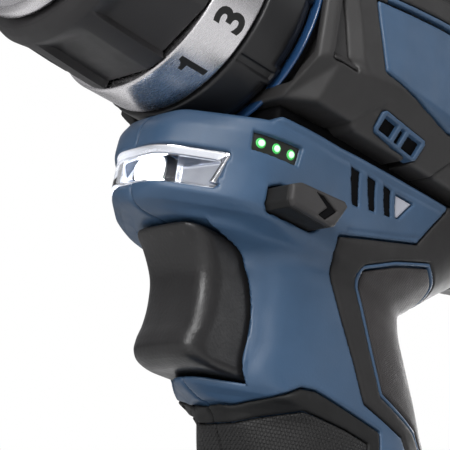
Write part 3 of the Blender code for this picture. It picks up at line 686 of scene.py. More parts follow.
OPENING_END = 40  # past either side of the neck
VENT_DEPTH, ARROW_DEPTH = 17, 19.8  # the openings' floors, from the middle plane
GAUGE_DEPTH, LENS_REAR = 1.0, 7.4
PAST_MIDDLE = 0.6  # how far a half's box reaches over the middle plane


def corner_cut(x, y, z, reach):
    """A slope across the front corners, so far out at each height."""
    return 0.7096 * np.abs(y) - 0.7045 * x - np.interp(z, *reach)


def grip_base(x, y, z):
    """The outside of neck, handle and foot together."""
    neck = smax(NECK(z, x, y), z - np.interp(x, *NECK_TOP), 1.0)
    neck = smax(smax(neck, corner_cut(x, y, z, NECK_CORNER), 2.5), NECK_FLOOR - z, 2.0)
    handle = smax(HANDLE(z, x, y), corner_cut(x, y, z, HANDLE_CORNER), 1.6)
    handle = np.maximum(np.maximum(handle, z - HANDLE_TOP), HANDLE_END - z)
    foot = np.maximum(FOOT(z, x, y), z - FOOT_TOP)
    return smin(smin(neck, handle, 2.5), np.maximum(foot, FOOT_FLOOR - z), 3.0)


def grip_hollow(x, y, z):
    """Room inside the handle: trigger, switch, boards and battery rail."""
    base = grip_base(x, y, z)
    trigger_room = block_gap(x, y, z, (-30, -9.9, -74.0), (39, 9.9, -47.0))
    switch_room = block_gap(x, y, z, (30, -11.5, -128), (66, 11.5, -40))
    board_room = block_gap(x, y, z, (44, -16, -142), (94, 16, -126))
    neck_of_rail = block_gap(x, y, z, (-5, -17.8, -160), (100.6, 17.8, -143))
    rail = block_gap(x, y, z, (-5, -20.6, -144.7), (100.6, 20.6, -140.4))
    switch_room = np.maximum(switch_room, base + HANDLE_WALL)
    board_room = np.maximum(board_room, base + FOOT_WALL)
    return np.minimum.reduce([trigger_room, switch_room, neck_of_rail, rail, board_room])


def blue_shell(x, y, z):
    base, side = grip_base(x, y, z), np.abs(y)

    def handle_front(value, x, y, z):
        return value + dent(line_gap(x, z, TRIGGER_EDGE), 1.5, 0.28)

    def band_lines(value, x, y, z):
        for line in (BAND_LIP, BAND_FOOT):
            value = value + dent(line_gap(x, z, line), 0.42, 0.25)
        return value

    def gauge_room(value, x, y, z):
        return smax(value, np.minimum(-outline_gap(x, z, GAUGE), grip_base(x, y, z) + GAUGE_DEPTH), 0.3)

    def button_room(value, x, y, z):
        return smax(value, 0.35 - outline_gap(x, z, BUTTON_FACE), 0.4)

    base = patched(base, x, side, z, (5, 10.5, -77), (28, 25, -45), handle_front)
    base = patched(base, x, side, z, (11, 10, -42.5), (62, 30, -26), band_lines)
    value = smax(base, -grip_hollow(x, y, z), 0.5)
    value = smax(value, -np.maximum(lens_opening(y, z) - 0.1, x - LENS_REAR), 0.3)
    for hole, floor, soft in [(vent, VENT_DEPTH, 0.2) for vent in VENTS] + [(ARROW, ARROW_DEPTH, 0.3)]:
        low, high = np.min(hole, 0) - 1.5, np.max(hole, 0) + 1.5

        def opened(value, x, y, z, hole=hole, floor=floor, soft=soft):
            return smax(value, -np.maximum(outline_gap(x, z, hole), floor - y), soft)

        low, high = (low[0], floor - 1, low[1]), (high[0], OPENING_END, high[1])
        value = patched(value, x, side, z, low, high, opened)
    value = patched(value, x, y, z, (5, -OPENING_END, -37), (21, 0, -27), gauge_room)
    value = patched(value, x, y, z, (10, -OPENING_END, -48), (35, OPENING_END, -35), button_room)
    for outline in (REAR_RUBBER, FRONT_RUBBER):
        value = smax(value, np.minimum(GROOVE - outline_gap(x, z, outline), base + SKIN + 0.3), 0.35)
    return value


def vent_shade_fill(x, y, z):
    """A near-black plate behind the vent openings: painted shade inside the vents."""
    base = grip_base(x, y, z)
    holes = np.minimum.reduce([outline_gap(x, z, vent) for vent in VENTS])
    return np.maximum(np.maximum(holes + 0.02, base + 0.4), -(base + 2.4))


def gauge_floor(x, y, z):
    base = grip_base(x, y, z)
    return smax(np.maximum(outline_gap(x, z, GAUGE) + 0.1, base + 0.85), -(base + 2.6), 0.1)


def rubber_skin(x, y, z, outline):
    base = grip_base(x, y, z) - RUBBER_PROUD
    return smax(smax(base, outline_gap(x, z, outline), 0.9), -(base + SKIN), 0.3), base


def rear_rubber(x, y, z):
    value, base = rubber_skin(x, y, z, REAR_RUBBER)
    return smax(value, np.minimum(1.25 - outline_gap(x, z, INSERT), base + 1.5), 0.35)


def front_rubber(x, y, z):
    value, base = rubber_skin(x, y, z, FRONT_RUBBER)
    return smax(value, np.minimum(0.3 - outline_gap(x, z, FRONT_PAD), base + 1.4), 0.4)


def insert_inlay(x, y, z):
    """Thin blue line round the insert."""
    base, insert = grip_base(x, y, z), outline_gap(x, z, INSERT)
    value = smax(smax(base - 0.1, insert - 1.05, 0.3), 0.35 - insert, 0.3)
    return smax(value, -(base + 1.3), 0.2)


def dotted_insert(x, y, z):
    base = grip_base(x, y, z)
    return smax(smax(base - 0.1, outline_gap(x, z, INSERT), 0.8), -(base + 1.2), 0.2)


def hexagon_pad(x, y, z):
    base = grip_base(x, y, z)
    return smax(smax(base, outline_gap(x, z, FRONT_PAD), 0.6), -(base + 1.2), 0.2)


def halved(field, side):
    """The half of a field on one side of the middle plane."""
    def parted(x, y, z):
        return smax(field(x, y, z), y + SEAM if side == "left" else SEAM - y, SEAM_ROUND)
    return parted


def half(side, name, xs, ys, zs, step, field, look, node=None, slot="black_plastic", after=None):
    """A housing piece on one side, parted at the middle plane if its box reaches past that."""
    low_y, high_y = (-ys[1], -ys[0]) if side == "left" else ys
    if ys[0] < 0:
        field = halved(field, side)
    if after:
        field = after(field)
    sculpt(f"{name}_{side}", (xs[0], low_y, zs[0]), (xs[1], high_y, zs[1]), step, field, look,
           "housing", [f"{node}_{side}"] if node else ())


def make_grip():
    across, foot_across = (-PAST_MIDDLE, 26), (-PAST_MIDDLE, 39)
    blue = {"node": "housing", "slot": "blue_housing"}
    for side, step in (("left", 0.45), ("right", 0.6)):
        half(side, "vent_shade_fill", (30, 47), (17, 24), (-37, -28), 0.3, vent_shade_fill, "dark")
        half(side, "neck", (-5.5, 100), across, (-83, -23), step,
             lambda x, y, z: np.maximum(blue_shell(x, y, z), FOOT_SPLIT - z), "blue", **blue)
        half(side, "foot", (5, 108), foot_across, (-147.4, -81), 0.85,
             lambda x, y, z: np.maximum(blue_shell(x, y, z), z - FOOT_SPLIT), "blue", **blue)
        for name, xs, zs, coarser, field, look in (
                ("rear_overmold", (30, 104), (-121, -23.5), 0.1, rear_rubber, "rubber"),
                ("grip_insert", (41, 92), (-113, -37), 0.1, dotted_insert, "dotted"),
                ("front_grip", (20, 65), (-121, -71), 0.05, front_rubber, "front_rubber"),
                ("front_pad", (20, 60), (-119, -75), 0.05, hexagon_pad, "hexagon")):
            half(side, name, xs, across, zs, step + coarser, field, look, "grip_rubber", "grip_rubber")
        half(side, "insert_inlay", (40, 92), across, (-114, -36), 0.4, insert_inlay, "blue",
             slot="blue_housing")


# ---------------------------------------------------------------- barrel

SIDE_WIDTH = ([13, 17, 24, 32, 40, 75, 95, 107.4, 118, 126],
              [29.9, 30.4, 31, 32, 32.6, 32.8, 31.3, 29.3, 27.2, 21.5])
BARREL_TOP = ([13, 24, 40, 75, 95, 107.4, 118, 126], [29.6, 31.6, 32.6, 32.6, 31.2, 29, 26, 19.5])
LOW_FACET = ([13, 32, 75, 107.4, 118, 126], [33.5, 34.2, 35.2, 32, 29, 23])
TOP_FACET = ([13, 32, 75, 107.4, 118, 126], [35.1, 36.2, 37, 34, 31, 24])
BARREL_FRONT, BARREL_END, CAP_END = 11.4, 107.4, 126.0
RIB_LINE = [(-13.9, 23.4), (-12.2, 21.7), (-6, 20), (-0.5, 18), (8, 16.4), (20, 15.4), (40, 15)]
RIB_WIDTH = 2.4
SUNK, SUNK_FOOT, SUNK_FRONT = 1.7, -14.4, 14.1  # the sunk faces: how deep, their foot and front edges
GEAR_REACH, MOTOR_REACH = 24.6, 23.0
LOW_CREASE = [(31.5, -16.6), (26, -22.4)]
SIDE_GROOVES = [[(24, 8.5), (46, 11.5), (100, 12.5)], [(52, -23), (56, -17.2), (98, -13.6)]]
SELECTOR_ROOM = (38.4, -8.6, 26.8), (67.2, 8.6, 40)
SCREWS, SCREW_ROOM = [(30, 22), (98, 20), (98, -16)], 3.6
CORE_HALF = ([13, 30, 90, 104], [18.5, 20.3, 20.3, 17])
BARREL_FLOOR = ([13, 25.5, 27.5, 90, 107], [-22.3, -22.4, -23.5, -23.5, -22])
CHAMFER_LEAN = -0.54  # how much the chamfers round the barrel's front face forward
PANEL = [(23.2, 1.8), (27.9, -11.6), (49.2, -15.4), (93.5, -11.4), (91.5, 5.6), (46, 4.4)]
STRIP = [(26.0, 3.1), (44, 5.2), (91, 6.6), (91, 7.5), (44, 6.2), (25.6, 4.0)]
BEZEL = [(31.7, -17.9), (44.6, -18.9), (45.2, -19.5), (45.1, -22.6), (44.4, -23.0), (32.0, -21.9),
         (31.3, -21.3), (31.1, -18.4)]
BEZEL_HOLES = [[(32.2, -18.6), (36.4, -18.9), (36.4, -21.8), (32.2, -21.4)],
               [(37.3, -19.0), (38.9, -19.1), (38.9, -22.0), (37.3, -21.9)],
               [(39.8, -19.2), (44.2, -19.5), (44.2, -22.5), (39.8, -22.1)]]


def barrel_base(x, y, z):
    """Side, low and top faces of the barrel, with a chamfer on each round its front."""
    side, width = np.abs(y), np.interp(x, *SIDE_WIDTH)
    low_face, top_face = 0.845 * side - 0.535 * z, 0.76 * side + 0.65 * z
    value = smax(side - width, 0.954 * (side - width) - 0.3 * (z - SUNK_FOOT), 0.3)
    value = smax(value, low_face - np.interp(x, *LOW_FACET), 0.4)
    value = smax(value, top_face - np.interp(x, *TOP_FACET), 2.5)
    value = smax(value, z - np.interp(x, *BARREL_TOP), 4.0)
    value = smax(value, CHAMFER_LEAN * x + 0.842 * side - 18.0, 0.2)
    corner = smin(-0.7 * x + 0.714 * low_face - 12.7, -14.8 - z - 0.8 * (width - side), 0.3)
    value = smax(value, corner, 0.2)
    value = smax(value, CHAMFER_LEAN * x + 0.842 * top_face - 22.7, 0.2)
    value = smax(value, BARREL_FRONT - x, 0.3)
    return smax(smax(value, np.interp(x, *BARREL_FLOOR) - z, 0.7), x - CAP_END, 2.5)


def front_of_rib(x, z):
    line = np.array(RIB_LINE)
    return x - np.interp(z, line[:, 0], line[:, 1])


def bumper_region(x, z):
    """Negative on the sunk faces in front of the rib."""
    ahead = front_of_rib(x, z) + RIB_WIDTH + 0.2
    return np.maximum(np.maximum(ahead, SUNK_FOOT - 0.2 - z), SUNK_FRONT + 0.5 - x)


def barrel_hollow(x, y, z):
    """Room for gears and motor, and the recess round the collar's rear."""
    reach = np.hypot(y, z)
    gears = np.maximum(reach - GEAR_REACH, x - 41.4)
    motor = smax(barrel_base(x, y, z) + 2.8, reach - MOTOR_REACH, 0.5)
    motor = np.maximum(motor, span(x, 40, 123))
    recess = np.maximum(barrel_base(0 * x + 16, y, z) + 3.0, x - 14.8)
    return np.minimum(np.minimum(gears, motor), recess)


def barrel_detail(x, y, z):
    """The barrel's outside with its rib, crease and sunk faces."""
    ahead = np.clip(0.1 - front_of_rib(x, z) / RIB_WIDTH, 0, 1)
    above = np.clip((z - SUNK_FOOT) / 1.6, 0, 1)
    value = barrel_base(x, y, z) + SUNK * ahead * above * np.clip((x - SUNK_FRONT) / 0.4, 0, 1)
    return value + dent(line_gap(x, z, LOW_CREASE), 0.6, 0.3) * (z < -16)


def black_body(x, y, z):
    base = barrel_detail(x, y, z)
    value = smax(base, GROOVE - 0.1 - bumper_region(x, z), 0.3)
    for outline in (PANEL, STRIP):
        value = smax(value, np.minimum(GROOVE - outline_gap(x, z, outline), base + SKIN), 0.35)
    bezel = np.minimum(0.15 - outline_gap(x, z, BEZEL), base + 2.4)
    value = smax(value, np.where(z < -10, bezel, -9), 0.3)
    for line in SIDE_GROOVES:
        value = value + dent(line_gap(x, z, line), 0.35, 0.6)
    value = smax(value, -block_gap(x, y, z, *SELECTOR_ROOM), 0.5)
    value = smax(value, -barrel_hollow(x, y, z), 0.4)
    return smax(value, x - BARREL_END, 0.5)


def bumper(x, y, z):
    value = smax(barrel_detail(x, y, z), bumper_region(x, z), 0.3)
    return smax(value, -barrel_hollow(x, y, z), 0.4)


def channel_shade(x, y, z):
    """A near-black body behind the channel between barrel and neck: painted shade in the channel."""
    value = np.maximum(np.abs(y) - np.interp(x, *CORE_HALF), span(x, 13.2, 104))
    value = np.maximum(value, span(z, -27.2, -22.6))
    return np.maximum(value, GEAR_REACH - np.hypot(y, z))


def let_in(outline, soft):
    """A thin plate let into the barrel's side."""
    def field(x, y, z):
        base = barrel_base(x, y, z) - 0.1
        return smax(smax(base, outline_gap(x, z, outline), soft), -(base + SKIN), 0.3)
    return field


def vent_bezel(x, y, z):
    base = barrel_base(x, y, z)
    value = smax(smax(base - 0.3, outline_gap(x, z, BEZEL), 0.3), -(base + 2.2), 0.3)
    for hole in BEZEL_HOLES:
        value = smax(value, -0.05 - outline_gap(x, z, hole), 0.15)
    return value


# a near-black plate behind the bezel's holes: painted shade inside them
def bezel_shade_fill(x, y, z):
    base = barrel_base(x, y, z)
    return np.maximum(np.maximum(outline_gap(x, z, BEZEL) + 0.5, base + 0.7), -(base + 2.0))


def rear_cap(x, y, z):
    base = barrel_base(x, y, z)
    value = smax(base, BARREL_END + 0.3 - x, 0.5)
    slot = np.maximum(np.maximum(nearest(z + 1.5, 3.6) - 0.9, span(z, -13, 13)), span(x, 111, 119.5))
    value = smax(value, -np.maximum(slot, -(base + 2.6)), 0.4)
    ring = np.abs(np.hypot(y, z - 3) - 12.5)
    value = value + dent(ring, 0.5, 0.7) * (x > 120)
    return smax(value, -np.maximum(base + 3, x - 122), 0.4)


def screw_rooms(field):
    def with_rooms(x, y, z):
        value = field(x, y, z)
        for sx, sz in SCREWS:
            def drill(value, x, y, z, sx=sx, sz=sz):
                return smax(value, SCREW_ROOM - np.hypot(x - sx, z - sz), 0.5)
            value = patched(value, x, y, z, (sx - 5, 0, sz - 5), (sx + 5, 40, sz + 5), drill)
        return value
    return with_rooms


def make_barrel():
    across = (-PAST_MIDDLE, 34)
    for side, step in (("left", 0.5), ("right", 0.65)):
        half(side, "barrel", (10.6, 108.2), across, (-25, 34.5), step, black_body, "barrel", "housing",
             after=screw_rooms if side == "right" else None)
        half(side, "channel_shade", (12.5, 105), across, (-28, -21.5), 0.7, channel_shade, "dark", "housing")
        half(side, "panel", (22, 95), across, (-17, 7), 0.45, let_in(PANEL, 0.5), "blue", "side_panel",
             "blue_housing")
        half(side, "strip", (24, 93), across, (2, 9), 0.3, let_in(STRIP, 0.3), "blue", "side_panel",
             "blue_housing")
        half(side, "vent_bezel", (30, 47), (24, 32), (-24, -16.5), 0.28, vent_bezel, "blue",
             slot="blue_housing")
        half(side, "vent_bezel_shade", (30, 47), (24, 32), (-24, -16.5), 0.3, bezel_shade_fill, "dark")
    sculpt("bumper", (12, -33, -25), (33, 33, 34), 0.42, bumper, "bumper", "housing", ["front_bumper"])
    sculpt("rear_cap", (107, -31, -25), (127, 31, 32), 0.6, rear_cap, "grey", "housing", ["rear_cap"])


# ---------------------------------------------------------------- chuck, rings and collar

# the sleeve's flat panels and the collar's pads, spaced round the axis
PANELS_PITCH, PANELS_FIRST, PANEL_SHARE = math.radians(36), math.radians(-8), 0.74
PADS_PITCH, PADS_FIRST = math.radians(40), math.radians(50)


def pulse(value, low, high, soft):
    """1 between two places and 0 beyond them."""
    return np.clip((value - low) / soft + 0.5, 0, 1) * np.clip((high - value) / soft + 0.5, 0, 1)


def sleeve_shape(along, radius, angle):
    """Flat grip panels, each starting at a step down from the raised strip before it."""
    flat = PANEL_SHARE
    part = ((angle - PANELS_FIRST) / PANELS_PITCH) % 1.0
    share = np.clip(part / flat, 0, 1)
    depth = 1.6 * (1 - share) + 2.6 * share * (1 - share) + 0.25 * share * (part < flat)
    depth = depth + 0.25 * (1 - (part - flat) / (1 - flat)) * (part >= flat)
    reach = np.clip((along + 29.0) / 5.0, 0, 1)
    return radius - depth * (3 * reach ** 2 - 2 * reach ** 3) * (radius > 21.5)


def collar_shape(along, radius, angle):
    """Long cuts behind the collar's pads, and a groove between each pad and the next."""
    part = ((angle - PADS_FIRST) / PADS_PITCH) % 1.0
    cut = 0.8 * pulse(part, 0.0, 0.78, 0.03) * pulse(along, 8.7, 20, 0.25)
    groove = 0.5 * pulse(part, 0.84, 0.93, 0.02) * pulse(along, 0.6, 9.6, 0.3)
    return radius - (cut + groove) * (radius > 25)


def make_turned():
    around("chuck_sleeve", [(-32.4, 17.9), (-32.4, 23.3), (-30.8, 24.3), (-28.8, 24.9), (-22.0, 25.4),
           (-16.0, 25.8), (-11.4, 25.95), (-11.2, 25.8), (-11.2, 17.9)], "sleeve", "chuck_sleeve",
           ["chuck_sleeve"], sleeve_shape, turns=720)
    around("nose_ring", [(-36.0, 15.5), (-36.0, 20.8), (-35.2, 22.0), (-33.4, 22.0), (-32.7, 21.4),
           (-32.7, 15.5)], "silver", "chuck_sleeve", ["nose_ring"])
    around("numbered_ring", [(-10.8, 22.6), (-10.8, 25.7), (-10.4, 26.0), (-0.7, 26.0), (-0.3, 25.7),
           (-0.3, 22.6)], "silver", "torque_collar", ["numbered_ring"])
    around("torque_collar", [(0.1, 18.9), (0.1, 26.3), (0.5, 26.6), (9.6, 26.6), (10.2, 26.2),
           (10.9, 25.9), (10.9, 18.9)], "collar", "torque_collar", ["torque_collar"],
           collar_shape, turns=720)
    around("ring_seat", [(-10.5, 18.9), (-10.5, 22.3), (0.0, 22.3), (0.0, 18.9)], "black",
           "torque_collar", ["torque_collar"])
    around("accent_ring", [(11.45, 24.8), (11.45, 26.7), (11.7, 27.0), (12.0, 27.0), (12.25, 26.7),
           (12.25, 24.8)], "gloss_blue", "housing", ["accent_ring"])


RING_FACE = 26.0
NUMERAL_STEP, NUMERAL_FIRST, NUMERAL_COUNT = 25.6, 30.6, 11
NUMERAL_FOOT, NUMERAL_HEIGHT = -2.2, 6.6
DIGIT_SHARE, DIGIT_WEIGHT, DIGIT_DEPTH = 0.72, 0.24, 0.1  # share of the font's size that a digit fills
NUMERAL_RELIEF, NUMERAL_SINK = 0.8, 0.03
ONE = [(1.5, 0), (2.75, 0), (2.75, 6.6), (1.75, 6.6), (1.45, 5.9), (0.85, 5.45), (0.05, 5.3),
       (0.05, 4.35), (1.5, 4.35)]


def glyph(digit):
    """One raised digit lying in x and y, in millimetres, and how wide it is."""
    work = bmesh.new()
    if digit == "1":
        front = [work.verts.new((x, y, DIGIT_DEPTH)) for x, y in ONE]
        work.faces.new(front)
        made = bmesh.ops.extrude_face_region(work, geom=work.faces[:])
        for vert in made["geom"]:
            if isinstance(vert, bmesh.types.BMVert):
                vert.co.z = -DIGIT_DEPTH
        return work, 3.3
    curve = bpy.data.curves.new("digit", "FONT")
    curve.body = digit
    curve.size = NUMERAL_HEIGHT / DIGIT_SHARE
    curve.offset = DIGIT_WEIGHT
    curve.extrude = DIGIT_DEPTH
    curve.resolution_u = 4
    holder = bpy.data.objects.new("digit", curve)
    bpy.context.scene.collection.objects.link(holder)
    bpy.context.view_layer.update()
    mesh = bpy.data.meshes.new_from_object(holder.evaluated_get(bpy.context.evaluated_depsgraph_get()))
    bpy.data.objects.remove(holder)
    work.from_mesh(mesh)
    bmesh.ops.remove_doubles(work, verts=work.verts, dist=0.002)
    return work, max(vert.co.x for vert in work.verts) + 0.5


def make_numerals():
    """Torque numbers bent round the ring, their tops toward the chuck."""
    for i in range(NUMERAL_COUNT):
        glyphs = [glyph(digit) for digit in str(2 * i + 1)]
        across = -sum(width for _, width in glyphs) / 2
        points, faces = [], []
        for work, width in glyphs:
            bmesh.ops.triangulate(work, faces=work.faces)
            for _ in range(2):
                longest = [edge for edge in work.edges if edge.calc_length() > 1.2]
                bmesh.ops.subdivide_edges(work, edges=longest, cuts=1)
            bmesh.ops.triangulate(work, faces=work.faces)
            bmesh.ops.recalc_face_normals(work, faces=work.faces)
            first = len(points)
            for vert in work.verts:
                turn = math.radians(NUMERAL_FIRST + i * NUMERAL_STEP) + (vert.co.x + across) / RING_FACE
                reach = RING_FACE + vert.co.z * NUMERAL_RELIEF - NUMERAL_SINK
                points.append((NUMERAL_FOOT - vert.co.y, -reach * math.sin(turn),
                               -reach * math.cos(turn)))
            faces += [[first + vert.index for vert in face.verts] for face in work.faces]
            work.free()
            across += width
        finish_piece(f"numeral_{2 * i + 1}", np.array(points, np.float32), np.array(faces, np.int32),
                     "ink", "torque_collar", crease=40)


# ---------------------------------------------------------------- lamp, gauge and controls


LAMP_AT = -39.0  # the lamp's height
RIM_BEVEL = 0.54
BUTTON_SPLIT = 24.9  # how far out the face ends and the body starts
CHEVRON = [(18.9, -39.7), (21.3, -39.6), (25.3, -41.3), (22.4, -44.0), (20.2, -43.8), (22.4, -41.6)]
GAUGE_LIGHTS = (10.15, 13.35, 16.65)
TRIGGER_ROWS = eased([(-73.4, 13.6), (-72.5, 11.5), (-70.8, 9.9), (-68.5, 9.8), (-65.5, 10.6),
                      (-60, 11), (-55.5, 10.2), (-52.8, 8.7), (-50.4, 6.9), (-47.6, 3.9)])


def lens_front(y, inset):
    """The neck's rounded front at the lamp's height, or a little behind it."""
    share = np.clip(np.abs(y) / (21.5 - inset * 0.6), 0, 0.98)
    round_front = 37.9 - (42.1 - inset) * (1 - share ** 3) ** (1 / 3)
    return smax(round_front, (0.7096 * np.abs(y) - 7.4 + inset) / 0.7045, 2.5)


def lens_opening(y, z):
    """The lens as it is seen from in front, its ends slanting."""
    return smax(smax(-42.7 - z, z + 35.55, 0.4), np.abs(y) - 15.7 - 0.27 * (z + 36.5), 0.5)


def lens_field(x, y, z):
    value = smax(lens_front(y, 0.2) - x, x - lens_front(y, 1.3), 0.3)
    return smax(value, lens_opening(y, z) + 0.1, 0.4)


def reflector_field(x, y, z):
    """Silver wings each side of the lamp, sloping back from the lens to the lamp."""
    back = np.interp(np.abs(y), [0, 4.2, 6.2, 7.0, 15.6], [2.6, 2.6, 1.4, 2.2, 6.6])
    value = smax(back - x, x - back - 0.7, 0.2)
    value = smax(value, lens_opening(y, z) + 0.2, 0.2)
    return smax(value, 4.0 - np.hypot(y, z - LAMP_AT), 0.2)


def lens_frame(x, y, z):
    """Bevelled bright rim along the top and the ends of the lens."""
    opening, front = lens_opening(y, z), lens_front(y, 0.0)
    value = smax(opening, -(opening + np.where(z > -37.5, 1.7, 0.9)), 0.2)
    value = smax(value, smax(front - RIM_BEVEL * opening - x, x - front - 2.4, 0.2), 0.3)
    return smax(value, -41.9 - z, 0.3)


def lamp_field(x, y, z):
    bulb = np.sqrt((x - 1.5) ** 2 + y ** 2 + (z - LAMP_AT) ** 2) - 3.7
    return smax(bulb, np.maximum(x - 1.6, span(z, -42.6, -35.7)), 0.2)


def arrow_field(x, y, z):
    base = grip_base(x, y, z)
    return smax(smax(outline_gap(x, z, ARROW) + 0.3, base + 0.5, 0.15), -(base + 1.8), 0.1)


def lamp_collar(x, y, z):
    tube = smax(np.hypot(y, z - LAMP_AT) - 4.8, 4.0 - np.hypot(y, z - LAMP_AT), 0.2)
    return smax(tube, np.maximum(span(x, 0.2, 3.2), 3.0 - np.abs(y)), 0.2)


def trigger_field(x, y, z):
    front = np.interp(z, TRIGGER_ROWS[0], TRIGGER_ROWS[1][0])
    side = np.abs(y)
    crown = front - 0.35 + 0.02 * np.maximum(side - 1.5, 0) ** 2 + 0.09 * np.maximum(side - 5.6, 0) ** 2
    value = smax(crown - x, side - 9.35, 2.6)
    value = smax(value, span(z, -73.3, -47.75), 2.0)
    value = smax(value, x - 30.9, 0.4)
    return smax(value, -block_gap(x, y, z, (20, -7.4, -71), (35, 7.4, -49.5)), 0.5)


def button_field(x, y, z):
    value = smax(smax(outline_gap(x, z, BUTTON_FACE), -26.2 - y, 1.0), y + BUTTON_SPLIT, 0.1)
    return smax(value, -np.maximum(outline_gap(x, z, CHEVRON), y + 25.6), 0.15)


def button_body(x, y, z):
    """The darker body under the button's face, through the neck to the other side; its darker look is
    painted shade from the button's recess.
    """
    return smax(smax(outline_gap(x, z, BUTTON_FACE), y - 20.2, 1.0), -BUTTON_SPLIT - y, 0.1)


def chevron_field(x, y, z):
    return np.maximum(outline_gap(x, z, CHEVRON) + 0.12, span(y, -25.9, -25.3))


def selector_field(x, y, z):
    value = smax(span(x, 39, 57), np.abs(y) - 8, 1.5)
    top = z - 34.2 - np.interp(x, [39, 42, 54, 57], [1.7, 0.2, 0.2, 1.7])
    value = smax(value, np.maximum(27.6 - z, top), 0.8)
    ridge = nearest(x, 2.0) - 0.45
    return value + 0.5 * np.clip(-ridge / 0.3, 0, 1) * (z > 30) * pulse(x, 43, 53, 0.5)


def gauge_light(x, y, z, middle, size, sunk):
    """A light on the gauge's floor, its face so far below the neck's surface."""
    reach = np.hypot(x - middle, (z + 32.1) / 1.12) - size
    base = grip_base(x, y, z)
    return smax(smax(reach, base + sunk - 0.1, 0.3), -(base + 1.4), 0.05)


def make_controls():
    sculpt("lens", (-5.5, -17.9, -43.2), (8.5, 17.9, -35), 0.22, lens_field, "clear", "housing",
           ["work_light_lens"], crease=50)
    # the rim takes the reflector look, whose emission is painted lamp light
    sculpt("lens_frame", (-5.5, -18, -43.2), (9, 18, -35), 0.19, lens_frame, "reflector", "housing")
    sculpt("reflector", (0, -17.6, -43), (8, 17.6, -35.2), 0.22, reflector_field, "reflector",
           "housing", ["work_light"])
    sculpt("lamp", (-2.8, -4.2, -43), (2.2, 4.2, -35), 0.2, lamp_field, "lamp", "housing",
           ["work_light"])
    sculpt("lamp_collar", (-0.2, -5, -42.5), (3.6, 5, -35.6), 0.2, lamp_collar, "dark_steel", "housing")
    sculpt("trigger", (2, -10, -74), (31.5, 10, -47), 0.32, trigger_field, "trigger", "trigger",
           ["trigger"])
    sculpt("button_face", (12, -27, -45.2), (29, -24, -37.6), 0.25, button_field, "grey",
           "direction_button", ["direction_button"])
    sculpt("button_body", (12, -25.5, -45.2), (29, 21, -37.6), 0.3, button_body, "front_rubber",
           "direction_button", ["direction_button"])
    sculpt("button_arrow", (19, -26.3, -44), (25, -25, -39.4), 0.12, chevron_field, "dark",
           "direction_button")
    sculpt("speed_selector", (38.5, -8.5, 27), (57.5, 8.5, 36), 0.3, selector_field, "black",
           "speed_selector", ["speed_selector"])
    sculpt("gauge_floor", (7.5, -22.5, -34.8), (19, -15, -29.4), 0.2, gauge_floor, "gauge_floor",
           "housing", ["battery_gauge"])
    for i, middle in enumerate(GAUGE_LIGHTS):
        low, high = (middle - 1.7, -22.5, -33.9), (middle + 1.7, -16, -30.3)
        for part, look, size, sunk in (("halo", "halo", 0.95, 0.8), ("light", "green", 0.6, 0.55)):
            sculpt(f"gauge_{part}_{i + 1}", low, high, 0.1,
                   lambda x, y, z: gauge_light(x, y, z, middle, size, sunk), look, "housing")
    for side in ("left", "right"):
        half(side, "light_arrow", (44, 52), (19.5, 25), (-34.4, -28.6), 0.2, arrow_field, "pale",
             slot="grey_plastic")


# ---------------------------------------------------------------- battery

BATTERY_HALF, BATTERY_ENDS = 37.8, (2.2, 111.8)


def battery_outside(x, y, z):
    across, along = np.abs(y) - BATTERY_HALF, span(x, *BATTERY_ENDS)
    return smax(smax(across, along, 5.0), 0.707 * across + 0.707 * along + 3.0, 1.5)


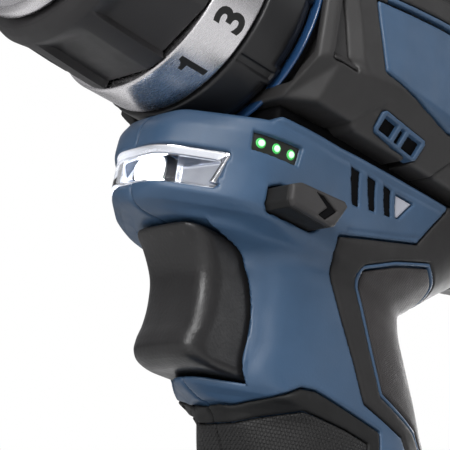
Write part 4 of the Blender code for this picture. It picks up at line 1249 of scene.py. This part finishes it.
def case_field(x, y, z):
    """The battery's tub: ribbed side panels, a foot all round and bumpers at the corners."""
    base = smax(battery_outside(x, y, z), span(z, -194.95, -165.0), 2.2)
    side = np.abs(y)
    window = smax(span(x, 26, 88), span(z, -190.5, -168.5), 3.0)
    value = smax(base, np.minimum(-window, base + 1.3), 0.5)
    value = np.where(side > 30, value, base)
    ridge = nearest(z + 179.5, 4.4) - 1.2
    value = value - 0.9 * np.clip(-ridge / 0.6, 0, 1) * (side > 30) * (window < -1.4)
    end = np.minimum(-smax(side - 24, span(z, -189, -170), 3.0), base + 1.0)
    value = np.where((x < 8) | (x > 106), smax(value, end, 0.5), value)
    corner = (np.minimum(np.abs(x - 2), np.abs(x - 112)) < 11) & (side > 27)
    grooves = dent(nearest(z + 180, 5.0), 0.9, 0.8) * corner * (z < -170) * (z > -190)
    return value + grooves + dent(z + 192.3, 0.8, 0.6)


def cover_field(x, y, z):
    body = smax(battery_outside(x, y, z) + 0.15, span(z, -164.7, -147.05), 2.0)
    body = smax(body, 0.5 * (z + 147.05) + 0.866 * (np.abs(y) - 33), 1.0)
    rail = np.minimum(block_gap(x, y, z, (15, -17.2, -149), (100, 17.2, -143.5)),
                      block_gap(x, y, z, (15, -20, -144.2), (100, 20, -141)))
    value = smin(body, rail, 0.4)
    for across in (-9, -3, 3, 9):
        value = smax(value, -block_gap(x, y, z, (60, across - 0.9, -146), (101, across + 0.9, -135)), 0.3)
    value = smax(value, -block_gap(x, y, z, (-5, -14.6, -160.6), (9.5, 14.6, -149.4)), 0.6)
    tread = dent(nearest(x, 4.2), 0.8, 0.7) * (np.abs(y) > 36)
    value = value + tread * pulse(x, 38, 76, 0.5) * pulse(z, -160, -153, 0.5)
    return value + dent(z + 162.6, 0.8, 0.5)


def release_field(x, y, z):
    value = smax(smax(span(x, 0.6, 6), np.abs(y) - 13.9, 1.2), span(z, -159.9, -150.1), 1.2)
    ridge = nearest(z + 155, 1.9) - 0.45
    return value + 0.5 * np.clip(-ridge / 0.3, 0, 1) * (x < 3) * pulse(y, -10.5, 10.5, 1)


def make_battery():
    sculpt("battery_case", (1.6, -38.2, -195.2), (112.4, 38.2, -164.5), 0.75, case_field, "black",
           "battery", ["battery_case"])
    sculpt("battery_cover", (1.6, -38.2, -165.2), (112.4, 38.2, -140.6), 0.7, cover_field, "grey",
           "battery", ["battery_cover"])
    sculpt("battery_release", (0.2, -14.4, -160.4), (6.6, 14.4, -149.6), 0.35, release_field, "rubber",
           "battery_release", ["battery_release"])


make_camera()
make_sky()
make_floor()
for light in LIGHTS:
    area_light(*light)
dress_cad_nodes()
make_grip()
make_barrel()
make_turned()
make_numerals()
make_controls()
make_battery()
